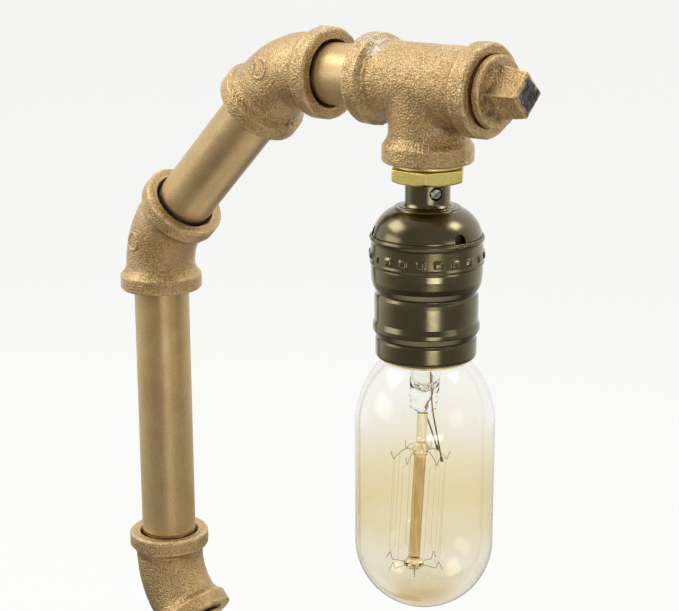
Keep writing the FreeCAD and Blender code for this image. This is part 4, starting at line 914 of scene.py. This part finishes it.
# ---- bulb
# Radii and stations in millimetres, as for the holder.
GLASS_R, GLASS_WALL, GLASS_NECK_R = 24.0, 0.45, 12.3
GLASS_TOP, SHOULDER_END, GLASS_POLE = 81.95, LIP + 23.0, LIP + 90.0
SHOULDER_ARC = 32.0
BUTTON_UP, BUTTON_DOWN = LIP + 33.0, LIP + 75.5
STEM_END = LIP + 19.5
LEAD_BEARING = radians(45.0)
HOOK_R, TIP_R = 9.1, 10.5
WIRE_R, LEAD_R, CRIMP_R, FILAMENT_R = 0.12 * MM, 0.27 * MM, 0.48 * MM, 0.06 * MM
PINCH_BEARING = radians(-39)
LEAN = radians(-2.7)


# The stem and all that hangs on it stand a little askew in the envelope.
PIVOT = Matrix.Translation(head - Z_AXIS * (LIP + 2.0) * MM)
LEAN_AXIS = Vector((sin(LEAD_BEARING), -cos(LEAD_BEARING), 0))
ASKEW = PIVOT @ Matrix.Rotation(LEAN, 4, LEAN_AXIS) @ PIVOT.inverted()


def envelope(inset):
    """Half the envelope's outline at a depth in its wall: shoulder, straight wall and round end."""
    arc = SHOULDER_ARC - inset
    across = GLASS_R - SHOULDER_ARC
    sweep = acos((GLASS_NECK_R - inset - across) / arc)
    turns = [sweep * (1 - n / 20) for n in range(21)]
    shoulder = [(across + arc * cos(a), SHOULDER_END - arc * sin(a)) for a in turns]
    radius = GLASS_R - inset
    turns = [QUARTER * n / 24 for n in range(1, 25)]
    end = [(radius * cos(a), GLASS_POLE - GLASS_R + radius * sin(a)) for a in turns]
    return [(max(r, 0.0), station) for r, station in shoulder + end]


def bulb_glass():
    """The blown envelope on its neck, which is sealed in the cap."""
    neck = [(GLASS_NECK_R - GLASS_WALL, GLASS_TOP), (GLASS_NECK_R, GLASS_TOP)]
    outline = refined(in_millimetres(neck + envelope(0.0) + envelope(GLASS_WALL)[::-1]), 2.0 * MM)
    piece = turned("bulb_glass_blown", outline, HUNG, 160, sharp=60.0)
    dress(piece, "bulb", AMBER, "bulb_glass", "bulb_glass")


def bulb_stem():
    """The flared stem with its flattened, rippled pinch."""
    outline = [
        (4.7, 82.2), (5.45, 82.2, 0.3), (5.3, 90.0), (5.1, STEM_END - 9.0, 3.0),
        (4.8, STEM_END - 5.0, 1.5), (4.5, STEM_END - 1.6, 0.9), (2.6, STEM_END - 0.3, 0.6),
        (0, STEM_END), (0, STEM_END - 8.0), (2.5, STEM_END - 9.0, 1.0), (4.2, STEM_END - 12.0, 2.0)]

    def pinched(angles, radius, height):
        share = smooth_step((height / MM - (STEM_END - 11.0)) / 4.0)
        flat = np.sqrt(np.cos(angles) ** 2 + (np.sin(angles) / 0.52) ** 2)
        ripple = 1 + 0.06 * share * np.sin(height / MM * 1.6 + 5 * np.cos(angles))
        return radius * ripple * (1 - share + share / flat)

    place = ASKEW @ HUNG @ Matrix.Rotation(PINCH_BEARING, 4, "Z")
    piece = turned("bulb_stem_pinched", smooth_outline(outline, 0.5), place, 72, pinched, 60.0)
    dress(piece, "bulb", STEM_GLASS, "stem_glass", "bulb_stem")


def support_rod():
    """The glass rod with its two fused buttons."""
    outline = [
        (0, STEM_END), (1.8, STEM_END + 0.1, 0.3), (1.75, BUTTON_UP - 3.3, 0.4),
        (1.55, BUTTON_UP - 2.7, 0.3), (2.35, BUTTON_UP - 2.0, 0.6), (2.85, BUTTON_UP - 0.2, 1.2),
        (2.5, BUTTON_UP + 1.7, 0.8), (2.1, BUTTON_UP + 2.1, 0.4), (2.05, BUTTON_DOWN - 2.2, 0.5),
        (3.3, BUTTON_DOWN - 1.1, 0.7), (3.65, BUTTON_DOWN + 0.1, 0.8), (3.1, BUTTON_DOWN + 1.3, 0.8),
        (1.6, BUTTON_DOWN + 2.05, 0.8), (0, BUTTON_DOWN + 2.1)]
    piece = turned("support_rod_fused", smooth_outline(outline, 1.2), ASKEW @ HUNG, 72, sharp=60.0)
    station = (run_z - rows_of(piece.data.vertices)[:, 2]) / MM
    set_mask(piece.data, "smoked", smooth_step((station - BUTTON_UP - 1.5) / 1.5)
             * smooth_step((BUTTON_DOWN - 1.5 - station) / 3.0))
    dress(piece, "bulb", ROD_GLASS, "stem_glass", "support_rod")


def bulb_point(radius, angle, station):
    """A point from its radius in millimetres, its angle from the lead wires and its station."""
    bearing = LEAD_BEARING - angle
    aside = Vector((radius * cos(bearing), radius * sin(bearing), -station)) * MM
    return ASKEW @ (head + aside)


def supports(name, node, station, foot_r, first, side):
    """Fine hooked wires that spring from one button."""
    paths = []
    for number in range(6):
        angle = radians(first + 60 * number + 5 * sin(3.7 * number + first))
        sag = 0.35 * sin(2.3 * number + side)
        if side > 0:
            knots = [(foot_r - 0.4, 0.2), (foot_r + 1.4, -0.5), (6.2, 0.25), (7.9, 1.6), (HOOK_R, 3.1),
                     (9.7, 2.2), (TIP_R - 0.2, 0.3)]
        else:
            knots = [(foot_r - 0.5, 0.2), (6.0, 0.35), (7.9, 0.55), (8.4, 0.1), (HOOK_R - 0.1, -1.9),
                     (9.6, -1.3), (TIP_R, 0.5)]
        paths.append(curved([bulb_point(r, angle, station + s + sag * r / TIP_R) for r, s in knots], 5))
    piece = tubes(name, paths, WIRE_R, 8)
    dress(piece, "bulb", FINE_WIRE, "fine_wire", node)


def filament():
    """The squirrel-cage filament: upright legs with a turn at each hook, all the way round."""
    upper, lower = BUTTON_UP + 2.1, BUTTON_DOWN - 2.1
    points = []
    for number in range(12):
        angle = radians(30 * number + 15)
        down = number % 2 == 0
        ends = (upper + 2.2, lower - 2.2) if down else (lower - 2.2, upper + 2.2)
        slack = 0.15 * sin(5.1 * number)
        for share in (0.0, 0.04, 0.5, 0.96, 1.0):
            bow = slack * sin(share * pi)
            points.append(bulb_point(HOOK_R - bow, angle, ends[0] + (ends[1] - ends[0]) * share))
        turn_at = lower if down else upper
        for share in (0.75, 1.0, 1.25):
            points.append(bulb_point(HOOK_R, angle + radians(15) * share, turn_at))
    piece = tubes("filament_wound", [curved(points, 3)], FILAMENT_R, 6)
    dress(piece, "bulb", FILAMENT, "filament_metal", "filament")


def lead_wires():
    """The two lead wires, copper inside the pinch, each with a crimp where it holds the filament."""
    inner, outer, beads = [], [], []
    for side in (1, -1):
        foot_r, foot_turn = (3.8, 30) if side > 0 else (2.1, -70)
        start = bulb_point(foot_r, radians(foot_turn), STEM_END - 0.4)
        end = bulb_point(HOOK_R + 0.3, side * radians(42), BUTTON_UP + 2.6)
        run = (end - start).normalized()
        inner.append(curved([bulb_point(2.6, side * QUARTER * 0.4, STEM_END - 14.0),
                             bulb_point(3.0, side * QUARTER * 0.4, STEM_END - 6.0), start], 5))
        outer.append([start, start.lerp(end, 0.5), end - run * 0.9 * MM])
        beads.append([end - run * 2.0 * MM, end - run * 1.2 * MM, end - run * 0.5 * MM])
    dress(tubes("lead_wires_inner", inner, LEAD_R + 0.01 * MM, 10), "bulb", COPPER, "copper")
    wires = tubes("lead_wires_bent", outer, LEAD_R, 12)
    dress(wires, "bulb", LEAD_WIRE, "copper", "lead_wires")
    dress(tubes("lead_crimps", beads, CRIMP_R, 12), "bulb", CRIMP, "copper")


def bulb_cap():
    """The bulb's threaded brass cap."""
    start, end = LIP - 20.3, LIP - 2.0
    wall = even_wall(13.05, start + 3.2, end - 0.4, 0.45)
    outline = [(8.4, start), (8.75, start, 0.2), (12.6, start + 2.6, 0.8)] + wall + [
        (12.75, end), (12.5, end), (12.3, start + 3.4), (8.4, start + 0.4)]
    piece = turned("bulb_cap_threaded", in_millimetres(rounded(outline)), HUNG, 128,
                   thread_profile(start + 3.0, end - 1.5, 13.05, 3.629, 0.62, 2.0), 60.0)
    dress(piece, "bulb", BRIGHT_BRASS, "bright_brass", "bulb_cap")


bulb_glass()
bulb_stem()
support_rod()
supports("upper_supports_sprung", "upper_supports", BUTTON_UP, 2.8, 0.0, 1)
supports("lower_supports_sprung", "lower_supports", BUTTON_DOWN, 3.6, 30.0, -1)
filament()
lead_wires()
bulb_cap()


# ---- carried-over CAD nodes
CAD_FINISH = {
    "base_wire": INSULATION, "arm_wire": INSULATION, "head_wire": INSULATION,
    "lamp_locknut": STEEL, "insulating_sleeve": FIBRE, "socket_core": PHENOLIC,
    "centre_contact": BRIGHT_BRASS, "terminal_screws": BRIGHT_BRASS, "switch_rotor": BRIGHT_BRASS,
    "cap_contact": SOLDER, "cap_insulator": BLACK_GLASS,
}
for node, material in CAD_FINISH.items():
    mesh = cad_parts[node].data
    mesh.materials.clear()
    mesh.materials.append(material)


# ---- stage, light and camera
CAMERA_AZIMUTH = radians(42.0)
CAMERA_ELEVATION = radians(15.19)
CAMERA_ROLL = radians(-0.16)
CAMERA_TARGET = Vector((23.93, 0, 328.93)) * MM
CAMERA_DISTANCE = 594.61 * MM
SENSOR = 36.0
FOCAL_PIXELS = 1680.0
IMAGE_WIDTH = 679.0
BACKDROP = (0.898, 0.898, 0.886)
AMBIENT = (0.66, 0.66, 0.66)
# How bright mirrors show the studio, from right in front of the lamp (0) to right behind it (1).
STUDIO_WALL = [(0.0, 0.32), (0.28, 0.32), (0.48, 0.52), (0.64, 0.80), (0.80, 1.0)]
FLOOR_PAINT = (0.80, 0.80, 0.79)
FLOOR_SHARE = 0.8
FLOOR_BOUNCE = (0.20, 0.20, 0.20)
FLOOR_GLOW = (1.0, 1.0, 0.985)
FLOOR_HALF = 9.0
FLOOR_FADE = 1.2
FLOOR_LEVEL = -0.2 * MM
# In mirrors the floor glows within the first distance of the lamp and no longer at the second.
NEAR_LAMP, PAST_LAMP = 0.14, 0.32
# Elsewhere they show it with this share of the studio's brightness at the start, and all at the end.
OPEN_START, OPEN_END, OPEN_START_SHARE = 0.35, 1.0, 0.2


def direction(bearing, elevation):
    """A unit vector; bearing 0 points from the lamp to the camera, and grows to the view's right."""
    angle = CAMERA_AZIMUTH + bearing
    flat = cos(elevation)
    return Vector((sin(angle) * flat, -cos(angle) * flat, sin(elevation)))


REARWARD = -direction(0.0, 0.0)


def set_camera():
    """The camera at the fitted place, looking at the fitted target with its slight roll."""
    data = bpy.data.cameras.new("camera")
    data.sensor_width = SENSOR
    data.lens = SENSOR * FOCAL_PIXELS / IMAGE_WIDTH
    camera = link("camera", data)
    back = direction(0.0, CAMERA_ELEVATION)
    right = Vector((cos(CAMERA_AZIMUTH), sin(CAMERA_AZIMUTH), 0))
    upward = back.cross(right)
    rolled_right = right * cos(CAMERA_ROLL) + upward * sin(CAMERA_ROLL)
    rolled_up = upward * cos(CAMERA_ROLL) - right * sin(CAMERA_ROLL)
    turn = Matrix((rolled_right, rolled_up, back)).transposed().to_4x4()
    camera.matrix_world = Matrix.Translation(CAMERA_TARGET + back * CAMERA_DISTANCE) @ turn
    bpy.context.scene.camera = camera


def ray_kinds(nodes):
    """1 for rays from the camera or through glass, for rays from a mirror and for diffuse rays."""
    path = nodes.add("LightPath").outputs
    direct = nodes.math("MAXIMUM", path["Is Camera Ray"], path["Is Transmission Ray"])
    return direct, path["Is Glossy Ray"], path["Is Diffuse Ray"]


def wall_ramp(nodes, share):
    """The studio's brightness from its dark front to its white back, by a share from 0 to 1."""
    stops = [(position, tuple(level * value for value in BACKDROP)) for position, level in STUDIO_WALL]
    return nodes.ramp(share, stops)


def set_world():
    """A pale studio; in mirrors it is white behind the lamp and darker in front of it."""
    world = bpy.data.worlds.new("studio")
    bpy.context.scene.world = world
    nodes = Nodes(world)
    direct, glossy, _ = ray_kinds(nodes)
    place = nodes.add("TexCoord").outputs["Generated"]
    behind = nodes.map_range(nodes.vector_math("DOT_PRODUCT", place, REARWARD), -1.0, 1.0)
    mirrored = nodes.blend(glossy, AMBIENT, wall_ramp(nodes, behind))
    shown = nodes.blend(direct, mirrored, BACKDROP)
    nodes.join(nodes.tree.nodes["Background"].inputs["Color"], shown)


def set_floor():
    """A large pale floor that takes soft shadows, looks like the backdrop and darkens to the front."""
    corners = [(x * FLOOR_HALF, y * FLOOR_HALF, FLOOR_LEVEL)
               for x, y in ((-1, -1), (1, -1), (1, 1), (-1, 1))]
    floor = mesh_piece("floor", corners, [(0, 1, 2, 3)])
    look = Look("floor_paint")
    look.feed(Base_Color=FLOOR_PAINT, Roughness=0.9, Specular_IOR_Level=0.0)
    direct, glossy, diffuse = ray_kinds(look)
    place = look.place()
    away = look.vector_math("DISTANCE", place, (lamp_x, 0, 0))
    near = look.math("MULTIPLY", glossy, look.map_range(away, PAST_LAMP, NEAR_LAMP))
    share = look.math("MAXIMUM", near, look.math("MULTIPLY", direct, FLOOR_SHARE))
    rearward = look.vector_math("DOT_PRODUCT", place, REARWARD)
    wall = wall_ramp(look, look.map_range(rearward, -FLOOR_FADE, FLOOR_FADE))
    open_floor = look.map_range(away, OPEN_START, OPEN_END, OPEN_START_SHARE)
    swept = look.add("VectorMath", {0: wall, "Scale": open_floor}, operation="SCALE").outputs[0]
    surface = look.shader.outputs[0]
    for factor, colour in ((diffuse, FLOOR_BOUNCE), (glossy, swept), (share, FLOOR_GLOW)):
        light = look.add("Emission", {"Color": colour}).outputs[0]
        surface = look.add("MixShader", {0: factor, 1: surface, 2: light}).outputs[0]
    look.join(look.tree.nodes["Material Output"].inputs["Surface"], surface)
    floor.data.materials.append(look.material)


def softbox(name, bearing, elevation, distance, width, height, radiance, edge=1.2):
    """A rectangular studio light aimed at the lamp's upper half, which fades out to its edges."""
    data = bpy.data.lights.new(name, "AREA")
    data.shape = "RECTANGLE"
    data.size = width
    data.size_y = height
    data.energy = radiance * pi * width * height
    nodes = Nodes(data)
    spot = nodes.add("SeparateXYZ", {0: nodes.add("NewGeometry").outputs["Parametric"]}).outputs
    levels = []
    for axis in "XY":
        hump = nodes.math("MULTIPLY", spot[axis], nodes.math("SUBTRACT", 1.0, spot[axis]))
        levels.append(nodes.math("MULTIPLY", hump, 4.0 * edge, clamp=True))
    nodes.join(nodes.tree.nodes["Emission"].inputs["Strength"], nodes.math("MULTIPLY", *levels))
    lamp = link(name, data)
    toward = direction(radians(bearing), radians(elevation))
    lamp.location = CAMERA_TARGET + toward * distance
    lamp.rotation_mode = "QUATERNION"
    lamp.rotation_quaternion = toward.to_track_quat("Z", "Y")
    lamp.visible_camera = False


set_camera()
set_world()
set_floor()
softbox("key", 14, -12.1, 1.0, 0.54, 0.17, 9.0, 1.0)
softbox("left_high", -98, 44, 1.3, 1.0, 0.65, 4.8)
softbox("left", -80, 12, 1.3, 1.1, 0.6, 2.3)
softbox("right", 88, 48, 1.3, 0.6, 0.5, 5.5)
softbox("front_right", 50, 7, 1.3, 0.7, 0.5, 1.5)
softbox("top", 178, 68, 1.3, 1.0, 0.8, 2.2)
bpy.context.scene.view_settings.view_transform = "Standard"
